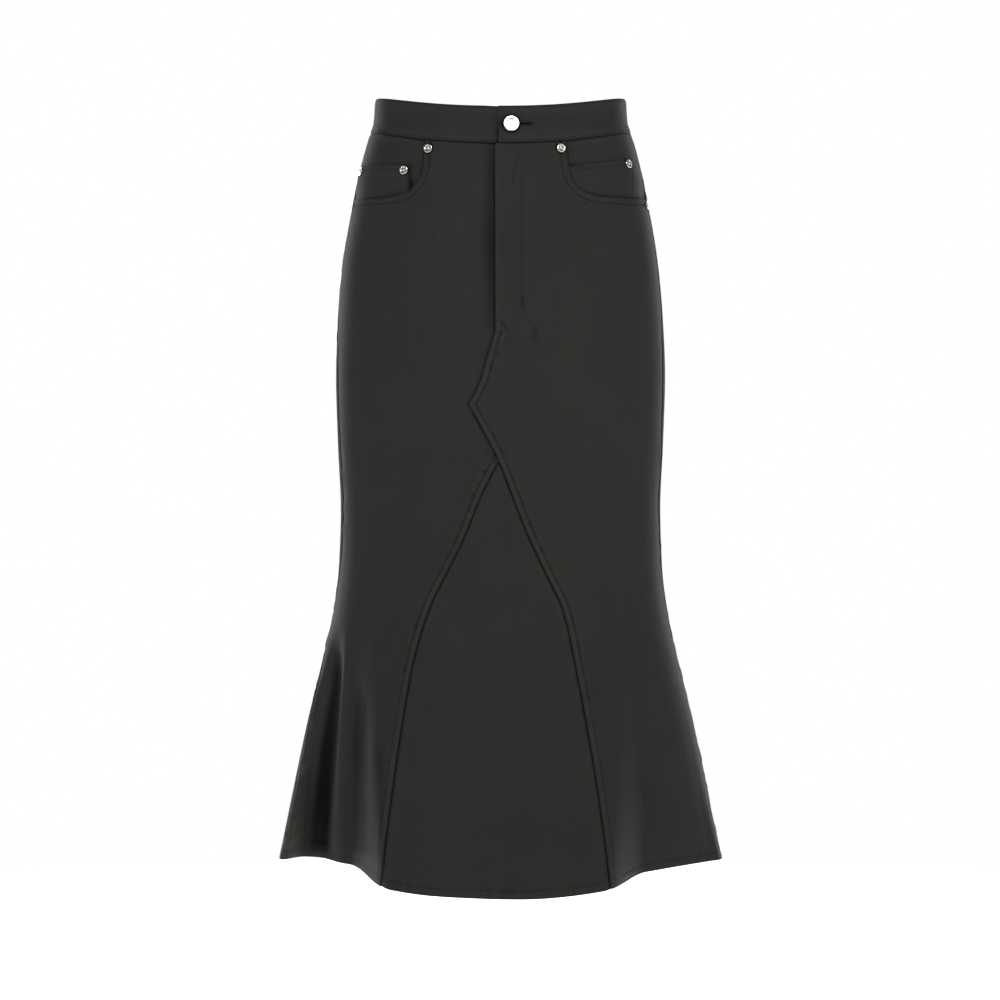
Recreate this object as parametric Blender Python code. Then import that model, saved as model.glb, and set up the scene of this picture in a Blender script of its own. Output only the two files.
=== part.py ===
"""A dark denim midi skirt with a five-pocket jeans front, a let-in front gusset and a flared hem.

It has the shape that it takes when it is worn, and it is hollow: every piece is a thin wall of cloth.
Metres, +Z up. The front faces -Y, so the wearer's left is at +X. The origin is the middle of the waist,
halfway up the waistband at the sides, where the wearer holds the skirt up.

One curved surface, the body, gives the garment's outer face. A place on it is an angle round the body
(0 at the centre front, growing towards +X, half a turn at the centre back) and a height. A layer is how
far a piece's face lies outside that surface, so a piece that goes under another has a negative layer.
"""

import math
from collections import Counter, namedtuple

import bpy
from mathutils import Vector

# Cloth, seams and laps.
CLOTH = 0.0011
SEAM_GAP = 0.0003
LAYER = 0.00155  # from the face of one lapped piece to the face of the next
ALLOWANCE = 0.009  # how far the lower piece runs on under a lapped seam
LAP_RAMP = 0.014  # the width in which a piece dips to pass under another
LAP_FLAT = 0.002  # and how far past the upper piece's edge it stays down

# The body's main sizes.
ROUNDNESS = 0.87  # 1 gives ellipses, and less gives squarer rings
SIDE_TOP, FRONT_TOP, BACK_TOP = 0.019, 0.0027, 0.024
SIDE_WAIST, FRONT_WAIST, BACK_WAIST = -0.0165, -0.0352, -0.0125
SIDE_HEM, FRONT_HEM, BACK_HEM = -0.7738, -0.7934, -0.7850
FLARE = -0.505  # the height where the skirt starts to widen

Section = namedtuple("Section", "name z half_width front back")
SECTIONS = (
    Section("above the band", 0.030, 0.1308, 0.0870, 0.0900),
    Section("top of the band", 0.019, 0.1312, 0.0880, 0.0920),
    Section("middle of the band", -0.005, 0.1327, 0.0895, 0.0960),
    Section("foot of the band", -0.018, 0.1372, 0.0925, 0.1020),
    Section("coin pocket", -0.060, 0.1486, 0.0970, 0.1160),
    Section("high hip", -0.100, 0.1565, 0.1000, 0.1290),
    Section("belly", -0.150, 0.1649, 0.1040, 0.1410),
    Section("seat", -0.210, 0.1703, 0.1070, 0.1480),
    Section("full hip", -0.270, 0.1726, 0.1075, 0.1440),
    Section("upper thigh", -0.340, 0.1705, 0.1065, 0.1280),
    Section("thigh", -0.410, 0.1675, 0.1060, 0.1180),
    Section("above the knee", -0.465, 0.1692, 0.1090, 0.1170),
    Section("start of the flare", FLARE, 0.1731, 0.1140, 0.1210),
    Section("knee", -0.555, 0.1833, 0.1250, 0.1340),
    Section("upper flare", -0.640, 0.2038, 0.1500, 0.1620),
    Section("hem", -0.775, 0.2318, 0.1950, 0.2030),
    Section("below the hem", -0.840, 0.2458, 0.2150, 0.2240),
)

# The flutes of the flare. Each takes a share of the ring's depth away between two angles, with a bank at
# either end. The share is whole at the hem, and nothing at the height where the flute starts. The angles
# are those at the hem, and a drift is how many degrees they move for each metre up.
Flute = namedtuple("Flute", "name first first_bank first_drift last last_bank last_drift flatten start")
FLUTES = (
    Flute("right front valley", -94.0, 32.0, -50.0, -26.0, 14.0, -55.0, 0.78, -0.520),
    Flute("right side fold", -74.0, 15.0, -55.0, -41.0, 12.0, -75.0, 0.90, -0.515),
    Flute("left front valley", 24.0, 13.0, 45.0, 94.0, 26.0, 0.0, 0.46, -0.530),
    Flute("gusset's soft valley", -20.0, 14.0, 0.0, 8.0, 14.0, 0.0, 0.035, -0.560),
    Flute("right back valley", -158.0, 16.0, 30.0, -100.0, 22.0, 0.0, 0.42, -0.525),
    Flute("left back valley", 104.0, 24.0, 0.0, 152.0, 18.0, -30.0, 0.36, -0.530),
    Flute("seat flute", 163.0, 12.0, 0.0, 188.0, 12.0, 0.0, 0.16, -0.550),
)

# Seams on the front, as places seen from straight ahead.
Place = namedtuple("Place", "z x")
FLY_EDGE = (Place(0.000, -0.0058), Place(-0.2275, -0.0052))
CROTCH = (Place(-0.2275, -0.0052), Place(-0.2527, -0.0127), Place(-0.2802, -0.0208), Place(-0.3033, -0.0323))
LEFT_INSEAM = (
    Place(-0.3033, -0.0323),
    Place(-0.3584, -0.0023),
    Place(-0.3907, 0.0104),
    Place(-0.4366, 0.0287),
    Place(-0.4757, 0.0472),
    Place(-0.5136, 0.0648),
    Place(-0.5690, 0.0769),
    Place(-0.6870, 0.0976),
    Place(-0.8200, 0.1150),
)
RIGHT_INSEAM = (
    Place(-0.3584, -0.0010),
    Place(-0.3941, -0.0196),
    Place(-0.4390, -0.0381),
    Place(-0.4757, -0.0563),
    Place(-0.5076, -0.0720),
    Place(-0.5447, -0.0844),
    Place(-0.5846, -0.0934),
    Place(-0.6933, -0.1095),
    Place(-0.8200, -0.1243),
)
FLY_WIDTH, UNDERLAP_FOOT = 0.028, -0.205  # the right front runs this far on under the fly, down to here
CROTCH_LAP = 0.011  # and this far under the crotch and inseam below it
LAP_NARROWS = 0.035  # the height in which it goes from one to the other
APEX = -0.3620  # where the two inseams cross
GUSSET_TOP, GUSSET_LEVELS_OUT = -0.3515, -0.4100  # it dips under both legs, and comes up by this height
GUSSET_DIP, GUSSET_HALF_WIDTH = 0.035, 0.001

# Side seams, as angles in degrees at each height.
Seam = namedtuple("Seam", "z right left")
SIDE_SEAMS = (
    Seam(0.030, -88.0, 82.0),
    Seam(-0.090, -88.0, 82.0),
    Seam(-0.200, -84.0, 80.0),
    Seam(-0.270, -78.0, 77.0),
    Seam(-0.400, -77.0, 78.0),
    Seam(-0.470, -80.0, 80.5),
    Seam(-0.515, -85.0, 82.5),
    Seam(-0.570, -82.0, 84.0),
    Seam(-0.650, -78.0, 85.5),
    Seam(-0.770, -71.0, 86.0),
    Seam(-0.840, -68.0, 86.0),
)

# Pocket mouths: a scoop below the waist seam, then a level edge out to the side seam.
MOUTH_INNER_X = {"right": -0.0782, "left": 0.0679}
MOUTH_TOP, MOUTH_FOOT = -0.0360, -0.0895
SCOOP_WIDTH, SCOOP_POWER = 0.050, 3.2
MOUTH_RISE = 0.003  # how much higher the edge is at the side seam
FACING_FOOT, FACING_UNDER = -0.1030, 0.012
FACING_SINK = 2 * LAYER  # room for the coin pocket between the facing and the front
FACING_LEVELS_OUT = 0.50  # the share of the scoop in which the facing comes up to the body's surface
SEAM_CLEAR = math.radians(5)  # the facing stays shallow this near the side seam

# Coin pockets: the top edge from its inner to its outer end, and where its sides reach its foot.
CoinPocket = namedtuple("CoinPocket", "side inner_top inner_foot outer_top outer_foot foot")
COIN_POCKETS = (
    CoinPocket("right", (-0.0931, -0.0568), -0.0962, (-0.1462, -0.0530), -0.1520, -0.0990),
    CoinPocket("left", (0.0690, -0.0590), 0.0720, (0.1364, -0.0470), 0.1400, -0.0990),
)

# The waistband: two layers of cloth that stand a little proud, with its left end over its right.
BAND, BAND_PROUD = 0.0024, 0.0006
BAND_END_X, BAND_UNDERLAP_X = -0.0019, 0.0440
BAND_UNDER = BAND + 0.0004
EYE_X, EYE_HALF, SLIT_END_X, SLIT_HALF = 0.0111, 0.0022, 0.0321, 0.0008

# Metal trims.
TRIM_GAP = 0.0003
BUTTON_RADIUS, SHANK_RADIUS = 0.0085, 0.0017
RIVET_RADIUS = 0.00475
# Profiles run from the axis underneath, round the rim, to the axis on top, as shares of the radius.
RIVET_PROFILE = ((1.00, 0.00), (1.00, 0.10), (0.86, 0.24), (0.62, 0.24), (0.42, 0.14), (0.26, 0.32))
RIVET_CROWN = 0.36
BUTTON_PROFILE = ((1.00, 0.06), (0.97, 0.18), (0.86, 0.26), (0.70, 0.24), (0.40, 0.22))
BUTTON_CROWN = 0.23
Rivet = namedtuple("Rivet", "name x z on")
RIVETS = (
    Rivet("rivet_pocket_right_top", -0.0741, -0.0405, "front"),
    Rivet("rivet_pocket_left_top", 0.0620, -0.0405, "front"),
    Rivet("rivet_pocket_right_side", -0.1545, -0.0945, "front"),
    Rivet("rivet_pocket_left_side", 0.1524, -0.0930, "front"),
    Rivet("rivet_coin_right_inner", -0.0988, -0.0620, "coin"),
    Rivet("rivet_coin_right_outer", -0.1436, -0.0590, "coin"),
    Rivet("rivet_coin_left_outer", 0.1308, -0.0530, "coin"),
)

# How finely the walls are cut.
ROW_STEP, FLARE_ROWS = 0.036, 9
WAIST_COLUMNS = {"right": 7, "left": 5}
SIDE_COLUMNS, UPPER_ROWS, BACK_UPPER_ROWS = 16, 4, 6
CORNER_LEAN, COLUMN_SPREAD = math.radians(9), 1.25  # these keep the columns below the pocket mouth apart
BACK_COLUMNS, GUSSET_COLUMNS, BAND_COLUMNS = 22, 14, 46
BACK_SPREAD = 1.35  # this packs the back's columns closer by the side seam, where the folds are sharpest
FACING_COLUMNS, FACING_ROWS, COIN_COLUMNS, COIN_ROWS = 16, 8, 12, 6
LEVEL_ROW = -0.125  # the first level row below the pocket
ROW_MARKS = (LEVEL_ROW, CROTCH[0].z, CROTCH[-1].z, APEX + 0.0015, APEX - 0.0025, FLARE)

Cloth = namedtuple("Cloth", "name colour roughness metallic")
DENIM = Cloth("denim", (0.030, 0.030, 0.026), 0.85, 0.0)
METAL = Cloth("nickel", (0.62, 0.60, 0.55), 0.28, 1.0)


def clear_scene():
    for obj in list(bpy.data.objects):
        bpy.data.objects.remove(obj)


def material(finish):
    found = bpy.data.materials.get(finish.name)
    if found:
        return found
    made = bpy.data.materials.new(finish.name)
    made.use_nodes = True
    shader = made.node_tree.nodes["Principled BSDF"]
    shader.inputs["Base Color"].default_value = (*finish.colour, 1.0)
    shader.inputs["Roughness"].default_value = finish.roughness
    shader.inputs["Metallic"].default_value = finish.metallic
    return made


def ease(t):
    """0 below 0, 1 above 1, and a smooth step between."""
    t = min(max(t, 0.0), 1.0)
    return t * t * (3 - 2 * t)


def steepness(rows, i, value):
    """The slope of a curve through the rows at row i, kept level where the rows turn back."""
    if i in (0, len(rows) - 1):
        a, b = (0, 1) if i == 0 else (-2, -1)
        return (value(rows[b]) - value(rows[a])) / (rows[b].z - rows[a].z)
    before = (value(rows[i]) - value(rows[i - 1])) / (rows[i].z - rows[i - 1].z)
    after = (value(rows[i + 1]) - value(rows[i])) / (rows[i + 1].z - rows[i].z)
    return 0.0 if before * after <= 0 else 2 * before * after / (before + after)


def along(rows, z, column):
    """A column's value at height z, on a smooth curve through the rows, which run downwards."""

    def value(row):
        return getattr(row, column)

    i = 0
    while i < len(rows) - 2 and z < rows[i + 1].z:
        i += 1
    top, foot = rows[i], rows[i + 1]
    span = foot.z - top.z
    t = min(max((z - top.z) / span, 0.0), 1.0)
    m0, m1 = steepness(rows, i, value) * span, steepness(rows, i + 1, value) * span
    rise = value(foot) - value(top)
    return value(top) + t * (m0 + t * (3 * rise - 2 * m0 - m1 + t * (m0 + m1 - 2 * rise)))


def turn_between(angle, other):
    """The signed turn from one angle to another, within half a turn."""
    return math.remainder(angle - other, math.tau)


def flute_share(flute, angle, z):
    """1 on a flute's floor, and 0 outside it."""
    first = flute.first + flute.first_drift * (z - SIDE_HEM)
    last = flute.last + flute.last_drift * (z - SIDE_HEM)
    into = math.degrees(turn_between(angle, math.radians((first + last) / 2)))
    half = (last - first) / 2
    return ease((into + half) / flute.first_bank) * ease((half - into) / flute.last_bank)


def body_point(angle, z):
    """The garment's outer face at an angle and a height."""
    s, c = math.sin(angle), math.cos(angle)
    x = along(SECTIONS, z, "half_width") * math.copysign(abs(s) ** ROUNDNESS, s)
    depth = along(SECTIONS, z, "front" if c > 0 else "back")
    y = -depth * math.copysign(abs(c) ** ROUNDNESS, c)
    for flute in FLUTES:
        if z < flute.start:
            grown = ((flute.start - z) / (flute.start - SIDE_HEM)) ** 1.3
            y *= 1 - flute.flatten * grown * flute_share(flute, angle, z)
    return Vector((x, y, z))


def outward(angle, z, point=body_point):
    """The direction straight out of a surface."""
    d_angle, d_z = math.radians(0.4), 0.001
    across = point(angle + d_angle, z) - point(angle - d_angle, z)
    down = point(angle, z - d_z) - point(angle, z + d_z)
    return down.cross(across).normalized()


def cloth_point(angle, z, layer):
    return body_point(angle, z) + outward(angle, z) * layer


def angle_at(x, z):
    """The angle of the place on the front that lies straight behind x."""
    share = min(abs(x) / along(SECTIONS, z, "half_width"), 1.0)
    return math.copysign(math.asin(share ** (1 / ROUNDNESS)), x)


def shifted(angle, z, distance):
    """The angle that lies a small distance further round the ring."""
    step = math.radians(0.5)
    chord = (body_point(angle + step, z) - body_point(angle - step, z)).length
    return angle + distance * 2 * step / chord


def level(angle, side, front, back, power=2):
    """A height that has one value at the sides and others at the centre front and back."""
    c = math.cos(angle)
    centre = front if c > 0 else back
    return side + (centre - side) * abs(c) ** power


def band_top(angle):
    return level(angle, SIDE_TOP, FRONT_TOP, BACK_TOP)


def waist_seam(angle):
    return level(angle, SIDE_WAIST, FRONT_WAIST, BACK_WAIST)


def hem(angle):
    return level(angle, SIDE_HEM, FRONT_HEM, BACK_HEM, power=5)


def side_seam(side, z):
    return math.radians(along(SIDE_SEAMS, z, side))


def overlap_edge(z):
    """Where the left front ends: the fly, the crotch point and the left inseam."""
    if z > CROTCH[0].z:
        return along(FLY_EDGE, z, "x")
    if z > CROTCH[-1].z:
        return along(CROTCH, z, "x")
    return along(LEFT_INSEAM, z, "x")


def underlap_edge(z):
    """Where the right front ends: hidden under the left front as far as the apex, then the right inseam."""
    if z < APEX:
        return along(RIGHT_INSEAM, z, "x")
    narrowed = ease((UNDERLAP_FOOT - z) / LAP_NARROWS)
    return overlap_edge(z) + FLY_WIDTH + (CROTCH_LAP - FLY_WIDTH) * narrowed


def right_front_layer(angle, z):
    """The right front dips where the left front lies over it."""
    clear = overlap_edge(z) - body_point(angle, z).x
    return -LAYER * (1 - ease((clear - LAP_FLAT) / LAP_RAMP))


def gusset_layer(angle, z):
    return -LAYER * (1 + ease((z - GUSSET_LEVELS_OUT) / GUSSET_DIP))


def flat_layer(angle, z):
    return 0.0


def mouth_place(side, t):
    """A place on the mouth's edge: t is 0 at its inner top, 1 where the scoop ends and 2 at the side."""
    sign = 1 if side == "left" else -1
    across, down = math.cos(min(t, 1.0) * math.pi / 2), math.sin(min(t, 1.0) * math.pi / 2)
    reach = (abs(across) ** SCOOP_POWER + down**SCOOP_POWER) ** (-1 / SCOOP_POWER)
    z = MOUTH_TOP + (MOUTH_FOOT - MOUTH_TOP) * down * reach
    angle = angle_at(MOUTH_INNER_X[side] + sign * SCOOP_WIDTH * (1 - across * reach), z)
    if t > 1:
        end = shifted(side_seam(side, MOUTH_FOOT), MOUTH_FOOT, -sign * SEAM_GAP / 2)
        angle += (end - angle) * (t - 1)
        z += MOUTH_RISE * (t - 1) ** 2
    return angle, z


def mouth_depth(side, x, z):
    """How far into the pocket opening a place lies: 0 on its edge, 1 at the top of the side, less outside."""
    across = max(1 - abs(x - MOUTH_INNER_X[side]) / SCOOP_WIDTH, 0.0)
    if (x - MOUTH_INNER_X[side]) * (1 if side == "left" else -1) < 0:
        across = 1 + abs(x - MOUTH_INNER_X[side]) / SCOOP_WIDTH
    down = max((z - MOUTH_TOP) / (MOUTH_FOOT - MOUTH_TOP), 0.0)
    return 1 - (across**SCOOP_POWER + down**SCOOP_POWER) ** (1 / SCOOP_POWER)


def facing_layer(side):
    """The facing lies deep under the mouth's edge, and comes up to the surface at the waist and side."""

    def layer(angle, z):
        from_seam = abs(turn_between(angle, side_seam(side, z)))
        sink = LAYER + (FACING_SINK - LAYER) * ease(from_seam / SEAM_CLEAR)
        depth = mouth_depth(side, body_point(angle, z).x, z)
        return -sink * (1 - ease(depth / FACING_LEVELS_OUT))

    return layer


def coin_layer(side):
    facing = facing_layer(side)
    return lambda angle, z: facing(angle, z) + LAYER


def new_object(name, points, faces, finish, sharp=35):
    mesh = bpy.data.meshes.new(name)
    mesh.from_pydata(points, [], faces)
    mesh.validate()
    mesh.shade_smooth()
    mesh.set_sharp_from_angle(angle=math.radians(sharp))
    mesh.materials.append(material(finish))
    obj = bpy.data.objects.new(name, mesh)
    bpy.context.scene.collection.objects.link(obj)
    return obj


def wall(name, grid, layer, thickness=CLOTH, left_out=()):
    """A closed wall of cloth over a grid of places. Rows run down and columns towards +X on the front.

    layer gives the outer face's height over the body. Cells in left_out are holes, cut right through.
    """
    rows, columns = len(grid), len(grid[0])
    outer, inner = [], []
    for row in grid:
        for angle, z in row:
            face = layer(angle, z)
            outer.append(cloth_point(angle, z, face))
            inner.append(cloth_point(angle, z, face - thickness))
    under = rows * columns
    faces, edges = [], []
    for i in range(rows - 1):
        for j in range(columns - 1):
            if (i, j) in left_out:
                continue
            a, d = i * columns + j, i * columns + j + 1
            b, c = a + columns, d + columns
            faces += [(a, b, c), (a, c, d)]
            faces += [(c + under, b + under, a + under), (d + under, c + under, a + under)]
            edges += [(a, b), (b, c), (c, d), (d, a)]
    uses = Counter(frozenset(edge) for edge in edges)
    for a, b in edges:
        if uses[frozenset((a, b))] == 1:
            faces.append((b, a, a + under, b + under))
    return new_object(name, outer + inner, faces, DENIM)


def heights(marks, step=ROW_STEP):
    """Heights from the first mark to the last, through every mark, no further apart than a step."""
    found = [marks[0]]
    for top, foot in zip(marks, marks[1:]):
        parts = max(1, math.ceil((top - foot) / step))
        found += [top + (foot - top) * k / parts for k in range(1, parts + 1)]
    return found


def rows_between(top, foot, parts, across):
    """Rows of places from one edge to another. top and foot give the edges' heights at an angle,
    and across gives a row's angles at a height."""
    rows = []
    for i in range(parts + 1):
        row = []
        for j in range(len(across(top(0.0)))):
            z = top(0.0)
            for _ in range(4):
                angle = across(z)[j]
                z = top(angle) + (foot(angle) - top(angle)) * i / parts
            row.append((angle, z))
        rows.append(row)
    return rows


def flare_rows(across):
    """The rows below the one at the start of the flare, down to the hem."""
    return rows_between(lambda angle: FLARE, hem, FLARE_ROWS, across)[1:]


def level_rows(levels, across):
    return [[(angle, z) for angle in across(z)] for z in levels]


def even(first, last, columns):
    return [first + (last - first) * j / columns for j in range(columns + 1)]


def below_waist(angle):
    return waist_seam(angle) - SEAM_GAP


def front_panel(side, inner_x, layer):
    """A front: waist seam and pocket mouth at the top, side seam, hem, and the edge that inner_x gives.

    Its first column is as wide as the allowance under it, so both walls bend along the same lines.
    """
    sign = 1 if side == "left" else -1
    corner, _ = mouth_place(side, 0)

    def ends(z):
        inner, outer = angle_at(inner_x(z), z), side_seam(side, z)
        return inner, shifted(inner, z, sign * ALLOWANCE), shifted(outer, z, -sign * SEAM_GAP / 2)

    inner, lap, outer = ends(LEVEL_ROW)
    lean = (corner - sign * CORNER_LEAN - lap) / (outer - lap)
    shares = even(0, lean, WAIST_COLUMNS[side])
    shares += [lean + (1 - lean) * (j / SIDE_COLUMNS) ** COLUMN_SPREAD for j in range(1, SIDE_COLUMNS + 1)]

    def across(z):
        inner, lap, outer = ends(z)
        row = [inner] + [lap + (outer - lap) * share for share in shares]
        return row if side == "left" else row[::-1]

    inner, lap, _ = ends(FRONT_WAIST)
    tops = [(angle, below_waist(angle)) for angle in [inner, *even(lap, corner, WAIST_COLUMNS[side])]]
    tops += [mouth_place(side, 2 * j / SIDE_COLUMNS) for j in range(1, SIDE_COLUMNS + 1)]
    if side == "right":
        tops.reverse()
    levels = level_rows(heights(ROW_MARKS), across)
    grid = []
    for i in range(UPPER_ROWS):
        share = i / UPPER_ROWS
        row = []
        for (angle, z), (foot_angle, foot_z) in zip(tops, levels[0]):
            row.append((angle + (foot_angle - angle) * share, z + (foot_z - z) * share))
        grid.append(row)
    return wall(f"front_{side}", grid + levels + flare_rows(across), layer)


def front_gusset():
    """The panel let in between the two inseams, from the apex to the hem, under both legs' edges."""

    def across(z):
        right, left = along(RIGHT_INSEAM, z, "x"), overlap_edge(z)
        half = max((left - right) / 2, GUSSET_HALF_WIDTH)
        middle = (left + right) / 2
        inner = even(angle_at(middle - half, z), angle_at(middle + half, z), GUSSET_COLUMNS)
        return [shifted(inner[0], z, -ALLOWANCE), *inner, shifted(inner[-1], z, ALLOWANCE)]

    levels = [GUSSET_TOP, *(z for z in heights(ROW_MARKS) if z < GUSSET_TOP)]
    return wall("front_gusset", level_rows(levels, across) + flare_rows(across), gusset_layer)


def back_panel(side):
    """A back, from the side seam to the centre back seam and from the waist seam to the hem."""

    sign = 1 if side == "left" else -1

    def across(z):
        seam = shifted(side_seam(side, z) % math.tau, z, sign * SEAM_GAP / 2)
        centre = shifted(math.pi, z, -sign * SEAM_GAP / 2)
        row = [seam + (centre - seam) * share**BACK_SPREAD for share in even(0, 1, BACK_COLUMNS)]
        return row if side == "left" else row[::-1]

    grid = rows_between(below_waist, lambda angle: LEVEL_ROW, BACK_UPPER_ROWS, across)[:-1]
    grid += level_rows(heights(ROW_MARKS), across) + flare_rows(across)
    return wall(f"back_{side}", grid, flat_layer)


def pocket_facing(side):
    """The cloth seen inside the pocket mouth. It runs on under the front."""
    sign = 1 if side == "left" else -1

    def across(z):
        inner = angle_at(MOUTH_INNER_X[side] - sign * FACING_UNDER, MOUTH_TOP)
        row = even(inner, shifted(side_seam(side, z), z, -sign * SEAM_GAP / 2), FACING_COLUMNS)
        return row if side == "left" else row[::-1]

    grid = rows_between(below_waist, lambda angle: FACING_FOOT, FACING_ROWS, across)
    return wall(f"pocket_facing_{side}", grid, facing_layer(side))


def coin_pocket(pocket):
    """The small patch pocket on the facing. Its foot is under the front's edge."""
    grid = []
    for i in range(COIN_ROWS + 1):
        row = []
        for j in range(COIN_COLUMNS + 1):
            down, out = i / COIN_ROWS, j / COIN_COLUMNS
            top_z = pocket.inner_top[1] + (pocket.outer_top[1] - pocket.inner_top[1]) * out
            z = top_z + (pocket.foot - top_z) * down
            inner_x = pocket.inner_top[0] + (pocket.inner_foot - pocket.inner_top[0]) * down
            outer_x = pocket.outer_top[0] + (pocket.outer_foot - pocket.outer_top[0]) * down
            inner, outer = angle_at(inner_x, z), angle_at(outer_x, z)
            row.append((inner + (outer - inner) * out, z))
        grid.append(row if pocket.side == "left" else row[::-1])
    return wall(f"coin_pocket_{pocket.side}", grid, coin_layer(pocket.side))


def band_layer(angle, z):
    """The band's right end goes under its left end. Its angle is past a full turn there."""
    clear = BAND_END_X - body_point(angle, z).x
    under = 1 - ease((clear - LAP_FLAT) / LAP_RAMP) if angle > 1.5 * math.pi else 0.0
    return BAND_PROUD - BAND_UNDER * under


def waistband():
    """One strip from the buttonhole end at the centre front, round the back, to the end with the button."""
    middle = (FRONT_TOP + FRONT_WAIST) / 2
    height = FRONT_TOP - FRONT_WAIST
    shares = [0.0, 0.25]
    shares += [0.5 + half / height for half in (-EYE_HALF, -SLIT_HALF, SLIT_HALF, EYE_HALF)]
    shares += [0.75, 1.0]
    eye_column, slit_cells = 1, 3
    hole_xs = [EYE_X - EYE_HALF, *even(EYE_X + EYE_HALF, SLIT_END_X, slit_cells)]
    angles = [angle_at(x, middle) for x in [BAND_END_X, *hole_xs]]
    ramp_foot, ramp_top = BAND_END_X - LAP_FLAT, BAND_END_X - LAP_FLAT - LAP_RAMP
    angles += even(angles[-1], angle_at(ramp_top, middle) + math.tau, BAND_COLUMNS)[1:]
    lap_xs = even(ramp_top, ramp_foot, 4)[1:] + even(ramp_foot, BAND_UNDERLAP_X, 4)[1:]
    angles += [angle_at(x, middle) + math.tau for x in lap_xs]
    grid = [[(a, band_top(a) + (waist_seam(a) - band_top(a)) * share) for a in angles] for share in shares]
    slit_row = 3
    left_out = {(row, eye_column) for row in (slit_row - 1, slit_row, slit_row + 1)}
    left_out |= {(slit_row, eye_column + k) for k in range(1, slit_cells + 1)}
    return wall("waistband", grid, band_layer, BAND, left_out)


def turned(name, profile, segments, foot, finish):
    """A solid turned about +Z. The profile is (radius, height) from the underside's rim to the top's rim.

    foot is the height of the underside's centre, and the last profile row is the top's centre height.
    """
    *rings, crown = profile
    points = [(0.0, 0.0, foot)]
    for radius, height in rings:
        for k in range(segments):
            turn = math.tau * k / segments
            points.append((radius * math.cos(turn), radius * math.sin(turn), height))
    points.append((0.0, 0.0, crown[1]))
    top = len(points) - 1
    faces = []
    for k in range(segments):
        a, b = 1 + k, 1 + (k + 1) % segments
        faces.append((0, b, a))
        for r in range(len(rings) - 1):
            low, high = r * segments, (r + 1) * segments
            faces.append((a + low, b + low, b + high, a + high))
        last = (len(rings) - 1) * segments
        faces.append((a + last, b + last, top))
    return new_object(name, points, faces, finish)


def seat(obj, angle, z, layer):
    """Stands a turned trim on the cloth, with its axis straight out."""
    normal = outward(angle, z, lambda a, h: cloth_point(a, h, layer(a, h)))
    obj.rotation_mode = "QUATERNION"
    obj.rotation_quaternion = normal.to_track_quat("Z", "Y")
    obj.location = cloth_point(angle, z, layer(angle, z)) + normal * TRIM_GAP


def rivet(spec):
    side = "left" if spec.x > 0 else "right"
    angle = angle_at(spec.x, spec.z)
    layer = coin_layer(side) if spec.on == "coin" else flat_layer
    profile = [(r * RIVET_RADIUS, h * RIVET_RADIUS) for r, h in (*RIVET_PROFILE, (0.0, RIVET_CROWN))]
    obj = turned(spec.name, profile, 14, 0.0, METAL)
    seat(obj, angle, spec.z, layer)


def waist_button():
    """The shank button. Its shank goes through the buttonhole to the band's lower end."""
    middle = (FRONT_TOP + FRONT_WAIST) / 2
    angle = angle_at(EYE_X, middle)
    shank_foot = TRIM_GAP - BAND_UNDER
    profile = [(SHANK_RADIUS, shank_foot), (SHANK_RADIUS, BUTTON_PROFILE[0][1] * BUTTON_RADIUS * 0.4)]
    profile += [(r * BUTTON_RADIUS, h * BUTTON_RADIUS) for r, h in (*BUTTON_PROFILE, (0.0, BUTTON_CROWN))]
    obj = turned("waist_button", profile, 24, shank_foot, METAL)
    seat(obj, angle, middle, band_layer)


def main():
    clear_scene()
    front_panel("right", underlap_edge, right_front_layer)
    front_panel("left", overlap_edge, flat_layer)
    front_gusset()
    for side in ("right", "left"):
        back_panel(side)
        pocket_facing(side)
    for pocket in COIN_POCKETS:
        coin_pocket(pocket)
    waistband()
    waist_button()
    for spec in RIVETS:
        rivet(spec)


main()
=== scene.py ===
"""Dresses the denim skirt for its render: fine cloth on the same body as the solids, with its seams, puckers
and creases, the topstitching, the metal trims, and a plain pale studio.

Metres, in the part's frame: +Z up, the front faces -Y, and the wearer's left is at +X. A place on the body
is an angle round it (0 at the centre front, growing towards +X) and a height.
"""

import math
from collections import namedtuple

import bpy
import numpy as np
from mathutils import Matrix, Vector
from mathutils.kdtree import KDTree


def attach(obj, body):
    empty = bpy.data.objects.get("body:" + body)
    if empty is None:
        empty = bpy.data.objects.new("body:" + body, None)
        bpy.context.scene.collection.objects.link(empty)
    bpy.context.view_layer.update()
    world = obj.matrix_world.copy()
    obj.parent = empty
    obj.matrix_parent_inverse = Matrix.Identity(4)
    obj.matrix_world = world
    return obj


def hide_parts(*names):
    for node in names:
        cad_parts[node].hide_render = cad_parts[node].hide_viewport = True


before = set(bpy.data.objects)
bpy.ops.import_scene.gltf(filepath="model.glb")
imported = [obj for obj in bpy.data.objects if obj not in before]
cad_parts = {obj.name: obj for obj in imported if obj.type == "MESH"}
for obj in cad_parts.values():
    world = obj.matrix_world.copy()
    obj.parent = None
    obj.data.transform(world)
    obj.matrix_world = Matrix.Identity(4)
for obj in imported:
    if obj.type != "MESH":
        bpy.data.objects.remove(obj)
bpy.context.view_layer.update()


def table(fields, *rows):
    """A table's rows, with names for their fields."""
    row = namedtuple("Row", fields)
    return tuple(row(*values) for values in rows)


# ---------------- the body, as in the part's source
CLOTH, SEAM_GAP, LAYER, ALLOWANCE = 0.0011, 0.0003, 0.00155, 0.009
LAP_RAMP, LAP_FLAT = 0.014, 0.002
ROUNDNESS = 0.87
SIDE_TOP, FRONT_TOP, BACK_TOP = 0.019, 0.0027, 0.024
SIDE_WAIST, FRONT_WAIST, BACK_WAIST = -0.0165, -0.0352, -0.0125
SIDE_HEM, FRONT_HEM, BACK_HEM = -0.7738, -0.7934, -0.7850
FLARE = -0.505

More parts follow.
